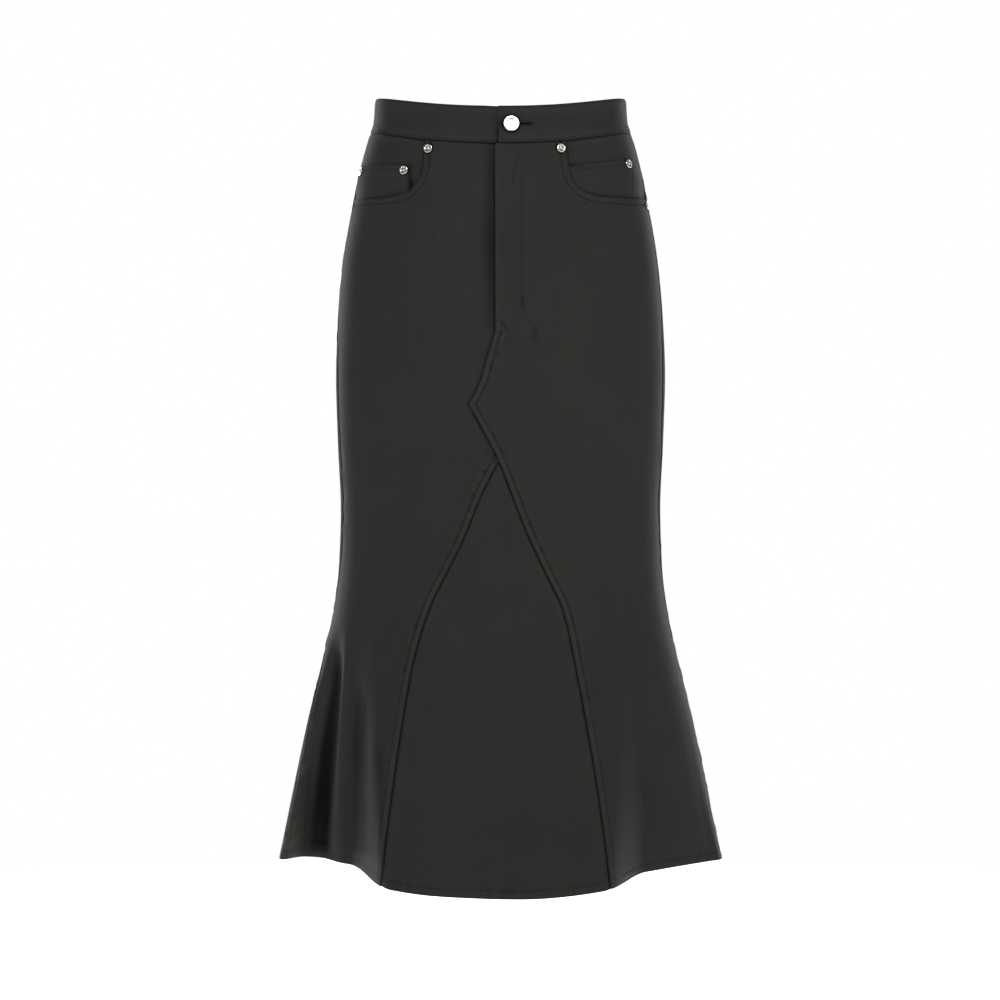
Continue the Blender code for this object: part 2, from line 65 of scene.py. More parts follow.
SECTIONS = table(
    "z half_width front back",
    (0.030, 0.1308, 0.0870, 0.0900),
    (0.019, 0.1312, 0.0880, 0.0920),
    (-0.005, 0.1327, 0.0895, 0.0960),
    (-0.018, 0.1372, 0.0925, 0.1020),
    (-0.060, 0.1486, 0.0970, 0.1160),
    (-0.100, 0.1565, 0.1000, 0.1290),
    (-0.150, 0.1649, 0.1040, 0.1410),
    (-0.210, 0.1703, 0.1070, 0.1480),
    (-0.270, 0.1726, 0.1075, 0.1440),
    (-0.340, 0.1705, 0.1065, 0.1280),
    (-0.410, 0.1675, 0.1060, 0.1180),
    (-0.465, 0.1692, 0.1090, 0.1170),
    (-0.505, 0.1731, 0.1140, 0.1210),
    (-0.555, 0.1833, 0.1250, 0.1340),
    (-0.640, 0.2038, 0.1500, 0.1620),
    (-0.775, 0.2318, 0.1950, 0.2030),
    (-0.840, 0.2458, 0.2150, 0.2240),
)
FLUTES = table(
    "first first_bank first_drift last last_bank last_drift flatten start",
    (-94.0, 32.0, -50.0, -26.0, 14.0, -55.0, 0.78, -0.520),
    (-74.0, 15.0, -55.0, -41.0, 12.0, -75.0, 0.90, -0.515),
    (24.0, 13.0, 45.0, 94.0, 26.0, 0.0, 0.46, -0.530),
    (-20.0, 14.0, 0.0, 8.0, 14.0, 0.0, 0.035, -0.560),
    (-158.0, 16.0, 30.0, -100.0, 22.0, 0.0, 0.42, -0.525),
    (104.0, 24.0, 0.0, 152.0, 18.0, -30.0, 0.36, -0.530),
    (163.0, 12.0, 0.0, 188.0, 12.0, 0.0, 0.16, -0.550),
)

# The lines on the front, as seen from straight ahead.
FLY_EDGE = table("z x", (0.000, -0.0058), (-0.2275, -0.0052))
CROTCH = table("z x", (-0.2275, -0.0052), (-0.2527, -0.0127), (-0.2802, -0.0208), (-0.3033, -0.0323))
LEFT_INSEAM = table(
    "z x", (-0.3033, -0.0323), (-0.3584, -0.0023), (-0.3907, 0.0104), (-0.4366, 0.0287), (-0.4757, 0.0472),
    (-0.5136, 0.0648), (-0.5690, 0.0769), (-0.6870, 0.0976), (-0.8200, 0.1150),
)
RIGHT_INSEAM = table(
    "z x", (-0.3584, -0.0010), (-0.3941, -0.0196), (-0.4390, -0.0381), (-0.4757, -0.0563), (-0.5076, -0.0720),
    (-0.5447, -0.0844), (-0.5846, -0.0934), (-0.6933, -0.1095), (-0.8200, -0.1243),
)
FLY_WIDTH, UNDERLAP_FOOT = 0.028, -0.205
CROTCH_LAP, LAP_NARROWS = 0.011, 0.035
APEX, CROSSING = -0.3620, -0.3598
GUSSET_TOP, GUSSET_LEVELS_OUT = -0.3515, -0.4100
GUSSET_DIP, GUSSET_HALF_WIDTH = 0.035, 0.001

# The side seams' angles, in degrees.
SIDE_SEAMS = table(
    "z right left",
    (0.030, -88.0, 82.0), (-0.090, -88.0, 82.0), (-0.200, -84.0, 80.0), (-0.270, -78.0, 77.0),
    (-0.400, -77.0, 78.0), (-0.470, -80.0, 80.5), (-0.515, -85.0, 82.5), (-0.570, -82.0, 84.0),
    (-0.650, -78.0, 85.5), (-0.770, -71.0, 86.0), (-0.840, -68.0, 86.0),
)

SIGN = {"right": -1, "left": 1}
MOUTH_INNER_X = {"right": -0.0782, "left": 0.0679}
MOUTH_TOP, MOUTH_FOOT = -0.0360, -0.0895
SCOOP_WIDTH, SCOOP_POWER = 0.050, 3.2
MOUTH_RISE = 0.003
FACING_FOOT, FACING_UNDER = -0.1030, 0.012
FACING_SINK = 2 * LAYER
FACING_LEVELS_OUT = 0.50
SEAM_CLEAR = math.radians(5)
COIN_POCKETS = table(
    "side inner_top inner_foot outer_top outer_foot foot",
    ("right", (-0.0931, -0.0568), -0.0962, (-0.1462, -0.0530), -0.1520, -0.0990),
    ("left", (0.0690, -0.0590), 0.0720, (0.1364, -0.0470), 0.1400, -0.0990),
)

BAND, BAND_PROUD = 0.0024, 0.0006
BAND_END_X, BAND_UNDERLAP_X = -0.0019, 0.0440
BAND_UNDER = BAND + 0.0004
BAND_MIDDLE = (FRONT_TOP + FRONT_WAIST) / 2
EYE_X, EYE_HALF, SLIT_END_X, SLIT_HALF = 0.0111, 0.0022, 0.0321, 0.0008
TRIM_GAP = 0.0003
RIVET_RADIUS, BUTTON_RADIUS, SHANK_RADIUS = 0.00475, 0.0085, 0.0017
CORNER_LEAN, COLUMN_SPREAD = math.radians(9), 1.25
LEVEL_ROW = -0.125

# ---------------- what only the scene has
MM = 0.001
CELL = 3.0 * MM  # the cloth's mesh is about this fine
CROWDING = 1.3  # rows lie closer together towards the hem
SETTLING = 8  # turns of the search for rows that end on a curved edge
NOISE_VALUES = 997  # a noise repeats after so many bumps
LAP_COLUMNS, MOUTH_COLUMNS, TOP_ROWS, FOOT_ROWS = 9, 84, 60, 92
STITCH_IN = 6.2 * MM  # topstitching lies this far in from a seam's edge
HEM_STITCH_IN, BAND_STITCH_IN = 8.5 * MM, 2.2 * MM
COIN_TOP_IN, COIN_SIDE_IN = 5.2 * MM, 3.0 * MM
HEM_ENDS = 0.004  # the hem's stitches stop this far from a seam, in radians
FLY_STITCH_X, FLY_TACK = 0.0218, (0.0222, -0.1990)
ZIGZAG, ZIGZAG_RADIUS = 0.42 * MM, 0.24 * MM  # between a bartack's threads, and a thread's radius


def curve(rows, column):
    """A smooth curve through a table's column, as a function of height. The rows run downwards."""
    z = np.array([row.z for row in rows])
    v = np.array([getattr(row, column) for row in rows])
    slope = np.diff(v) / np.diff(z)
    bend = np.concatenate([slope[:1], np.zeros(len(v) - 2), slope[-1:]])
    before, after = slope[:-1], slope[1:]
    same = before * after > 0
    bend[1:-1][same] = 2 * before[same] * after[same] / (before + after)[same]

    def at(h):
        h = np.asarray(h, float)
        i = np.clip(np.searchsorted(-z, -h, side="right") - 1, 0, len(z) - 2)
        span = z[i + 1] - z[i]
        t = np.clip((h - z[i]) / span, 0, 1)
        m0, m1, rise = bend[i] * span, bend[i + 1] * span, v[i + 1] - v[i]
        return v[i] + t * (m0 + t * (3 * rise - 2 * m0 - m1 + t * (m0 + m1 - 2 * rise)))

    return at


half_width, front_depth, back_depth = (curve(SECTIONS, c) for c in ("half_width", "front", "back"))
fly_x, crotch_x, left_inseam_x, right_inseam_x = (
    curve(rows, "x") for rows in (FLY_EDGE, CROTCH, LEFT_INSEAM, RIGHT_INSEAM)
)
seam_angles = {side: curve(SIDE_SEAMS, side) for side in SIGN}


def ease(t):
    t = np.clip(t, 0.0, 1.0)
    return t * t * (3 - 2 * t)


def hump(x, width, power=2):
    """A soft hill: 1 where x is 0, and nearly gone at twice the width."""
    return np.exp(-((x / width) ** power))


def unit(v):
    return v / np.linalg.norm(v, axis=-1, keepdims=True)


def turn_between(angle, other):
    return (angle - other + np.pi) % math.tau - np.pi


def flute_share(flute, angle, z):
    first = flute.first + flute.first_drift * (z - SIDE_HEM)
    last = flute.last + flute.last_drift * (z - SIDE_HEM)
    into = np.degrees(turn_between(angle, np.radians((first + last) / 2)))
    half = (last - first) / 2
    return ease((into + half) / flute.first_bank) * ease((half - into) / flute.last_bank)


def body(angle, z):
    angle, z = np.broadcast_arrays(np.asarray(angle, float), np.asarray(z, float))
    s, c = np.sin(angle), np.cos(angle)
    x = half_width(z) * np.copysign(np.abs(s) ** ROUNDNESS, s)
    depth = np.where(c > 0, front_depth(z), back_depth(z))
    y = -depth * np.copysign(np.abs(c) ** ROUNDNESS, c)
    for flute in FLUTES:
        grown = np.clip((flute.start - z) / (flute.start - SIDE_HEM), 0, None) ** 1.3
        y = y * (1 - flute.flatten * grown * flute_share(flute, angle, z))
    return np.stack([x, y, z], axis=-1)


def x_at(angle, z):
    return body(angle, z)[..., 0]


def angle_at(x, z):
    x = np.asarray(x, float)
    share = np.minimum(np.abs(x) / half_width(z), 1.0)
    return np.copysign(np.arcsin(share ** (1 / ROUNDNESS)), x)


def tangents(angle, z):
    """How the body moves for each radian round it, and for each metre up it."""
    da, dz = math.radians(0.4), 0.001
    round_it = (body(angle + da, z) - body(angle - da, z)) / (2 * da)
    up_it = (body(angle, z + dz) - body(angle, z - dz)) / (2 * dz)
    return round_it, up_it


def outward(angle, z):
    return unit(np.cross(*tangents(angle, z)))


def shifted(angle, z, distance):
    step = math.radians(0.5)
    chord = np.linalg.norm(body(angle + step, z) - body(angle - step, z), axis=-1)
    return angle + distance * 2 * step / chord


def moved(angle, z, right, up):
    """The place that lies so far to the wearer's left and up from another, measured on the cloth."""
    round_it, up_it = tangents(angle, z)
    return angle + right / np.linalg.norm(round_it, axis=-1), z + up / np.linalg.norm(up_it, axis=-1)


def level(angle, side, front, back, power=2):
    c = np.cos(angle)
    return side + (np.where(c > 0, front, back) - side) * np.abs(c) ** power


def band_top(angle):
    return level(angle, SIDE_TOP, FRONT_TOP, BACK_TOP)


def waist_seam(angle):
    return level(angle, SIDE_WAIST, FRONT_WAIST, BACK_WAIST)


def below_waist(angle):
    return waist_seam(angle) - SEAM_GAP


def hem(angle):
    return level(angle, SIDE_HEM, FRONT_HEM, BACK_HEM, power=5)


def side_seam(side, z):
    return np.radians(seam_angles[side](z))


def overlap_edge(z):
    z = np.asarray(z, float)
    lower = np.where(z > CROTCH[-1].z, crotch_x(z), left_inseam_x(z))
    return np.where(z > CROTCH[0].z, fly_x(z), lower)


def underlap_edge(z):
    z = np.asarray(z, float)
    narrowed = ease((UNDERLAP_FOOT - z) / LAP_NARROWS)
    lap = overlap_edge(z) + FLY_WIDTH + (CROTCH_LAP - FLY_WIDTH) * narrowed
    return np.where(z < APEX, right_inseam_x(z), lap)


def mouth_place(side, t):
    """A place on a pocket's mouth: t is 0 at the waist, 1 at the scoop's end and 2 at the side seam."""
    t = np.asarray(t, float)
    across = np.abs(np.cos(np.minimum(t, 1.0) * np.pi / 2))
    down = np.sin(np.minimum(t, 1.0) * np.pi / 2)
    reach = (across**SCOOP_POWER + down**SCOOP_POWER) ** (-1 / SCOOP_POWER)
    z = MOUTH_TOP + (MOUTH_FOOT - MOUTH_TOP) * down * reach
    angle = angle_at(MOUTH_INNER_X[side] + SIGN[side] * SCOOP_WIDTH * (1 - across * reach), z)
    end = shifted(side_seam(side, MOUTH_FOOT), MOUTH_FOOT, -SIGN[side] * SEAM_GAP / 2)
    out = np.maximum(t - 1, 0)
    return angle + (end - angle) * out, z + MOUTH_RISE * out**2


def mouth_depth(side, x, z):
    in_from_edge = (x - MOUTH_INNER_X[side]) * SIGN[side] / SCOOP_WIDTH
    across = np.where(in_from_edge < 0, 1 - in_from_edge, np.maximum(1 - in_from_edge, 0.0))
    down = np.maximum((z - MOUTH_TOP) / (MOUTH_FOOT - MOUTH_TOP), 0.0)
    return 1 - (across**SCOOP_POWER + down**SCOOP_POWER) ** (1 / SCOOP_POWER)


# ---------------- layers, as in the part's source
def flat_layer(angle, z):
    return np.zeros(np.shape(angle))


def right_front_layer(angle, z):
    clear = overlap_edge(z) - x_at(angle, z)
    return -LAYER * (1 - ease((clear - LAP_FLAT) / LAP_RAMP))


def gusset_layer(angle, z):
    return -LAYER * (1 + ease((z - GUSSET_LEVELS_OUT) / GUSSET_DIP))


def facing_layer(side):
    def layer(angle, z):
        from_seam = np.abs(turn_between(angle, side_seam(side, z)))
        sink = LAYER + (FACING_SINK - LAYER) * ease(from_seam / SEAM_CLEAR)
        return -sink * (1 - ease(mouth_depth(side, x_at(angle, z), z) / FACING_LEVELS_OUT))

    return layer


def coin_layer(side):
    facing = facing_layer(side)
    return lambda angle, z: facing(angle, z) + LAYER


def band_layer(angle, z):
    clear = BAND_END_X - x_at(angle, z)
    under = np.where(angle > 1.5 * np.pi, 1 - ease((clear - LAP_FLAT) / LAP_RAMP), 0.0)
    return BAND_PROUD - BAND_UNDER * under


# ---------------- layers that only the scene has
def left_front_layer(angle, z):
    """The left front's edge stands off at the fly."""
    d, _ = OVERLAP.near(body(angle, z), 0.024)
    lifted = (0.5 + 0.5 * ease((-0.050 - z) / 0.10)) * ease((z + 0.236) / 0.02)
    return 2.2 * MM * lifted * hump(d, 9 * MM)


def draped_right_layer(angle, z):
    """The right front sinks beside the fly's edge, where the edge keeps it in shadow."""
    d, _ = OVERLAP.near(body(angle, z), 0.036)
    fly = ease((z + 0.240) / 0.03) * (0.6 + 0.4 * ease((-0.045 - z) / 0.10))
    return right_front_layer(angle, z) - 5.5 * MM * fly * hump(d, 11 * MM)


# ---------------- seams as lines on the body
def smooth_noise(s, pitch, seed):
    """Even, seeded noise between -1 and 1 along a line, with a bump about every pitch."""
    values = np.random.default_rng(seed).uniform(-1, 1, NOISE_VALUES)
    u = np.asarray(s) / pitch
    i = np.floor(u).astype(int)
    t = ease(u - i)
    return values[i % NOISE_VALUES] * (1 - t) + values[(i + 1) % NOISE_VALUES] * t


class Track:
    """A line on the body, which finds how far off a point lies and how far along."""

    def __init__(self, angle, z, pitch=0.6 * MM):
        rough = body(angle, z)
        s = np.concatenate([[0], np.cumsum(np.linalg.norm(np.diff(rough, axis=0), axis=1))])
        even = np.linspace(0, s[-1], max(2, int(s[-1] / pitch)))
        self.angle, self.z, self.s = np.interp(even, s, angle), np.interp(even, s, z), even
        self.points = body(self.angle, self.z)
        self.tree = KDTree(len(even))
        for i, point in enumerate(self.points):
            self.tree.insert(point, i)
        self.tree.balance()
        self.low, self.high = self.points.min(axis=0), self.points.max(axis=0)

    def near(self, points, reach):
        """Distance and place along the line for each point. Points out of reach get a long distance."""
        flat = points.reshape(-1, 3)
        distance, along = np.full(len(flat), 1.0), np.zeros(len(flat))
        close = np.all((flat > self.low - reach) & (flat < self.high + reach), axis=1)
        for i in np.nonzero(close)[0]:
            _, index, off = self.tree.find(flat[i])
            distance[i], along[i] = off, self.s[index]
        return distance.reshape(points.shape[:-1]), along.reshape(points.shape[:-1])

    def offset(self, across):
        """The same line, moved sideways on the cloth. Seen with the line running down, + is towards +X."""
        e1, e2 = tangents(self.angle, self.z)
        side = np.cross(outward(self.angle, self.z), unit(np.gradient(self.points, axis=0)))
        a, b, d = (e1 * e1).sum(1), (e1 * e2).sum(1), (e2 * e2).sum(1)
        p, q = (side * e1).sum(1), (side * e2).sum(1)
        det = a * d - b * b
        angle, z = self.angle + across * (d * p - b * q) / det, self.z + across * (a * q - b * p) / det
        return Track(angle, z)

    def part(self, first, last):
        """The stretch from so far along the line to so far from its end, which is given below 0."""
        kept = (self.s >= first) & (self.s <= self.s[-1] + last)
        return Track(self.angle[kept], self.z[kept])


def seam_down(angle_of, top):
    """A seam from a height down to where it meets the hem."""
    foot = SIDE_HEM
    for _ in range(20):
        foot = float(hem(angle_of(foot)))
    z = np.linspace(top, foot, 500)
    return Track(angle_of(z), z)


def ring(height_of):
    angle = np.linspace(-np.pi, np.pi, 900)
    return Track(angle, height_of(angle))


def straight(x0, z0, x1, z1):
    """A line that is straight as seen from ahead."""
    t = np.linspace(0, 1, 40)
    z = z0 + (z1 - z0) * t
    return Track(angle_at(x0 + (x1 - x0) * t, z), z)


def mouth_track(side):
    angle, z = mouth_place(side, np.linspace(0, 2, 300))
    return Track(np.concatenate([[angle[0]], angle]), np.concatenate([[below_waist(angle[0])], z]))


def coin_lines(pocket):
    return {
        "top": straight(*pocket.inner_top, *pocket.outer_top),
        "inner": straight(*pocket.inner_top, pocket.inner_foot, pocket.foot),
        "outer": straight(*pocket.outer_top, pocket.outer_foot, pocket.foot),
    }


OVERLAP = seam_down(lambda z: angle_at(overlap_edge(z), z), FRONT_WAIST)
RIGHT_LEG = seam_down(lambda z: angle_at(right_inseam_x(z), z), CROSSING)
SIDES = {side: seam_down(lambda z, side=side: side_seam(side, z), SIDE_WAIST) for side in SIGN}
CENTRE_BACK = seam_down(lambda z: np.full(np.shape(z), np.pi), BACK_WAIST)
FLY_STITCH_Z = np.linspace(-0.0400, -0.1880, 200)
FLY_STITCHED = Track(angle_at(np.full(200, FLY_STITCH_X), FLY_STITCH_Z), FLY_STITCH_Z)
WAIST, HEM = ring(waist_seam), ring(hem)
MOUTHS = {side: mouth_track(side) for side in SIGN}
COIN_LINES = {pocket.side: coin_lines(pocket) for pocket in COIN_POCKETS}


# ---------------- relief of the cloth
def edge_roll(d, depth=0.8 * MM, width=1.2 * MM):
    return -depth * hump(d, width)


def topstitched(d, s, seed, pucker=0.40 * MM, inset=STITCH_IN, strength=1.0):
    """The strip between a seam's edge and its topstitching: a groove, a soft swelling and uneven puckers."""
    groove = -0.50 * MM * strength * hump(d - inset, 1.1 * MM)
    swell = 0.30 * MM * strength * hump(d - inset * 0.45, inset * 0.33)
    swell = swell + 0.15 * MM * strength * hump(d - inset - 2.6 * MM, 1.6 * MM)
    waves = smooth_noise(s, 4.3 * MM, seed) + 0.6 * smooth_noise(s, 2.4 * MM, seed + 1)
    uneven = 0.35 + 0.65 * ease(0.5 + smooth_noise(s, 38 * MM, seed + 2))
    strip = hump(d - inset, inset * 0.8)
    return groove * (0.7 + 0.3 * uneven) + swell + pucker * waves * uneven * strip


def puckered(d, s, seed, depth, reach, pitch=9 * MM):
    """Short drags of the cloth that run out from a seam."""
    strength = 0.3 + 0.7 * ease(0.5 + smooth_noise(s, 60 * MM, seed + 5))
    return depth * smooth_noise(s, pitch, seed) * strength * hump(d, reach)


# Troughs on the front, as seen from straight ahead. A negative depth is a ridge.
FRONT_CREASES = table(
    "x0 z0 x1 z1 width depth",
    (-0.0022, -0.2150, 0.0086, -0.2290, 1.5 * MM, 0.5 * MM),
    (0.0030, -0.2330, 0.0000, -0.2390, 2.2 * MM, -0.7 * MM),
    (0.0180, -0.0450, 0.0115, -0.0800, 1.6 * MM, 0.3 * MM),
    (0.0370, -0.2230, 0.0330, -0.2400, 4.5 * MM, 0.35 * MM),
    (0.0020, -0.2440, -0.0070, -0.2600, 1.6 * MM, 0.4 * MM),
    (-0.0280, -0.3080, -0.0180, -0.3300, 1.6 * MM, 0.5 * MM),
    (0.0035, -0.3480, 0.0100, -0.3620, 1.4 * MM, 0.5 * MM),
    (-0.0110, -0.3420, -0.0150, -0.3560, 1.6 * MM, 0.3 * MM),
)


def crease_relief(points):
    total = np.zeros(points.shape[:-1])
    for crease in FRONT_CREASES:
        heights = np.array([crease.z0, crease.z1])
        ends = body(angle_at([crease.x0, crease.x1], heights), heights)
        along = ends[1] - ends[0]
        t = ((points - ends[0]) @ along) / (along @ along)
        off = np.linalg.norm(points - ends[0] - np.clip(t, 0, 1)[..., None] * along, axis=-1)
        fade = ease(t / 0.35 + 0.4) * ease((1 - t) / 0.35 + 0.4)
        bank = 0.35 * hump(off - 2.1 * crease.width, crease.width)
        total += -crease.depth * fade * (hump(off, crease.width) - bank)
    return total


def drape_relief(angle, z):
    """Very slow unevenness of the whole cloth, more of it in the flare."""
    wave = 0.5 * np.sin(5 * angle + 9 * z + 1.3) * np.sin(21 * z + 0.7)
    wave = wave + 0.3 * np.sin(9 * angle - 14 * z) * np.sin(13 * z + 2 * angle)
    return wave * (0.35 + 0.9 * ease((-0.45 - z) / 0.25)) * MM


# The folds of the right front's flare: from a height to a height, the x of both edges at the top and foot,
# how deep each is, how dark its painted shade is, and how much it fades towards its ends.
VALLEYS = table(
    "top foot left_top left_foot right_top right_foot depth dark fade",
    (-0.530, -0.784, -0.1725, -0.2110, -0.1620, -0.1790, 8.0 * MM, 1.85, 1.9),
    (-0.572, -0.774, -0.154, -0.158, -0.134, -0.136, 2.6 * MM, 1.45, 1.2),
    (-0.620, -0.770, -0.146, -0.147, -0.112, -0.112, 0.0 * MM, 0.55, 0.0),
)


def across_valley(valley, angle, z):
    """How far down and across a fold a point lies, 0 to 1 inside it, and the fold's share there."""
    t = (valley.top - z) / (valley.top - valley.foot)
    left = valley.left_top + (valley.left_foot - valley.left_top) * t
    right = valley.right_top + (valley.right_foot - valley.right_top) * t
    ends = ease(t / 0.22) * ease((1 - t) / 0.10) * (1.1 - valley.fade * (t - 0.5) ** 2)
    return t, (x_at(angle, z) - left) / (right - left), ends


def valley_relief(angle, z):
    total = np.zeros(np.shape(angle))
    for valley in VALLEYS:
        _, u, ends = across_valley(valley, angle, z)
        total -= valley.depth * ends * ease((u + 0.25) / 0.75) * ease((1.30 - u) / 0.75)
    return total


def valley_painted_shade(angle, z):
    """Painted shade in the folds of the right front's flare. It narrows towards the top."""
    total = np.zeros(np.shape(angle))
    for valley in VALLEYS:
        t, u, ends = across_valley(valley, angle, z)
        bow = 0.16 * (1 - ease(t / 0.45))
        inside = ease((u - bow) / 0.45 + 0.2) * ease((1 - bow - u) / 0.36 + 0.2)
        grown = ease(t / 0.40 + 0.1) * (1 - 0.28 * ease((t - 0.62) / 0.38))
        total += valley.dark * inside * ends * grown * (1 + 0.15 * smooth_noise(z, 30 * MM, 9))
    return total


def hem_relief(points):
    d, s = HEM.near(points, 0.014)
    return topstitched(d, s, 71, 0.20 * MM, HEM_STITCH_IN, 0.45) + edge_roll(d, 0.25 * MM)


def waist_relief(points):
    d, s = WAIST.near(points, 0.020)
    return edge_roll(d, 1.1 * MM, 1.7 * MM) + puckered(d, s, 83, 0.35 * MM, 7 * MM, 8 * MM)


def side_relief(side, points, stitched):
    d, s = SIDES[side].near(points, 0.030)
    seed = 11 if side == "right" else 23
    lumps = puckered(d, s, seed, 1.0 * MM, 7 * MM, 11 * MM) * ease((s - 0.09) / 0.08)
    total = edge_roll(d, 0.9 * MM, 1.5 * MM) + lumps
    return total + topstitched(d, s, seed + 3) if stitched else total


def front_relief(side):
    """Everything that lies on one of the fronts. The inseams' topstitching pulls less in the flare."""
    inseam, seed, pull = (OVERLAP, 41, 0.35 * MM) if side == "left" else (RIGHT_LEG, 53, 0.25 * MM)

    def relief(angle, z):
        points = body(angle, z)
        d, s = MOUTHS[side].near(points, 0.016)
        total = edge_roll(d, 0.2 * MM) + topstitched(d, s, 31, 0.14 * MM)
        total += side_relief(side, points, False) + hem_relief(points) + waist_relief(points)
        total += crease_relief(points) + drape_relief(angle, z)
        d, s = inseam.near(points, 0.020)
        total += edge_roll(d, 0.8 * MM, 1.0 * MM)
        sewn = (1 - 0.65 * ease((-0.560 - z) / 0.060)) * topstitched(d, s, seed)
        sewn += puckered(d, s, seed + 6, pull, 9 * MM)
        if side == "right":
            return total + sewn + valley_relief(angle, z)
        below_fly = ease((CROTCH[0].z + 0.010 - z) / 0.012)
        d, s = FLY_STITCHED.near(points, 0.006)
        uneven = 0.6 + 0.4 * smooth_noise(s, 17 * MM, 43)
        return total + below_fly * sewn - 0.45 * MM * uneven * hump(d, 1.0 * MM)

    return relief


def gusset_relief(angle, z):
    points = body(angle, z)
    total = hem_relief(points) + 0.6 * drape_relief(angle, z)
    for track, seed in ((OVERLAP, 61), (RIGHT_LEG, 67)):
        d, s = track.near(points, 0.020)
        total += puckered(d, s, seed, 0.25 * MM, 7 * MM) + edge_roll(d, 0.6 * MM, 1.6 * MM)
    return total


def back_relief(side):
    def relief(angle, z):
        points = body(angle, z)
        d, s = CENTRE_BACK.near(points, 0.020)
        sewn = topstitched(d, s, 91) if side == "left" else puckered(d, s, 93, 0.3 * MM, 8 * MM)
        total = edge_roll(d) + sewn + side_relief(side, points, True)
        return total + hem_relief(points) + waist_relief(points) + drape_relief(angle, z)

    return relief


def facing_relief(side):
    def relief(angle, z):
        points = body(angle, z)
        return waist_relief(points) + side_relief(side, points, False)

    return relief


def coin_relief(side):
    """A patch with a folded top and topstitched sides."""

    def relief(angle, z):
        points = body(angle, z)
        total = np.zeros(np.shape(angle))
        lines = (("top", 101, COIN_TOP_IN), ("inner", 103, COIN_SIDE_IN), ("outer", 107, COIN_SIDE_IN))
        for line, seed, inset in lines:
            d, s = COIN_LINES[side][line].near(points, 0.012)
            total += edge_roll(d, 0.3 * MM) + topstitched(d, s, seed, 0.16 * MM, inset, 0.5)
        return total

    return relief


def band_relief(angle, z):
    """The band is two layers of cloth, so it is fuller between its edges' stitching."""
    arc, total = np.asarray(angle) * 0.12, np.zeros(np.shape(angle))
    for d, seed in ((band_top(angle) - z, 111), (z - waist_seam(angle), 117)):
        total += edge_roll(d, 1.0 * MM, 1.5 * MM) - 0.35 * MM * hump(d - BAND_STITCH_IN, 0.8 * MM)
        uneven = 0.3 + 0.7 * ease(0.5 + smooth_noise(arc, 50 * MM, seed + 1))
        total += 0.16 * MM * smooth_noise(arc, 9 * MM, seed) * uneven * hump(d, 8 * MM)
    return total + 0.25 * MM * np.sin(3 * np.asarray(angle) + 2)


# ---------------- materials
TWILL_OVER, TWILL_UP = 0.79, 0.62  # the direction across the twill's ribs
RIB_PITCH, PICK_PITCH = 0.85 * MM, 0.62 * MM


class Nodes:
    """A node tree that is built up line by line."""

    def __init__(self, owner, shader="Principled BSDF"):
        owner.use_nodes = True
        self.tree = owner.node_tree
        self.shader = self.tree.nodes[shader]

    def fill(self, node, inputs):
        for key, value in inputs.items():
            if isinstance(value, bpy.types.NodeSocket):
                self.tree.links.new(value, node.inputs[key])
            else:
                node.inputs[key].default_value = value
        return node

    def add(self, kind, inputs, **settings):
        node = self.tree.nodes.new(kind)
        for key, value in settings.items():
            setattr(node, key, value)
        return self.fill(node, inputs)

    def coordinates(self, kind):
        return self.add("ShaderNodeTexCoord", {}).outputs[kind]

    def math(self, operation, a, b=0.0, c=0.0):
        return self.add("ShaderNodeMath", {0: a, 1: b, 2: c}, operation=operation).outputs[0]

    def noise(self, vector, scale, detail=2.0, roughness=0.5):
        inputs = {"Vector": vector, "Scale": scale, "Detail": detail, "Roughness": roughness}
        return self.add("ShaderNodeTexNoise", inputs).outputs["Fac"]

    def stretched(self, vector, scale):
        return self.add("ShaderNodeMapping", {"Vector": vector, "Scale": scale}).outputs[0]

    def ramp(self, value, first, last, low, high):
        inputs = {"Value": value, "From Min": first, "From Max": last, "To Min": low, "To Max": high}
        return self.add("ShaderNodeMapRange", inputs).outputs["Result"]

    def spread(self, value, low, high):
        """Takes a noise, mostly 0.3 to 0.7, to a range."""
        return self.ramp(value, 0.3, 0.7, low, high)

    def tint(self, colour, amount):
        """A colour made lighter or darker by a factor."""
        scaled = self.add("ShaderNodeVectorMath", {0: colour, "Scale": amount}, operation="SCALE")
        return scaled.outputs["Vector"]

    def bump(self, height, strength, distance):
        inputs = {"Height": height, "Strength": strength, "Distance": distance}
        return self.add("ShaderNodeBump", inputs).outputs["Normal"]


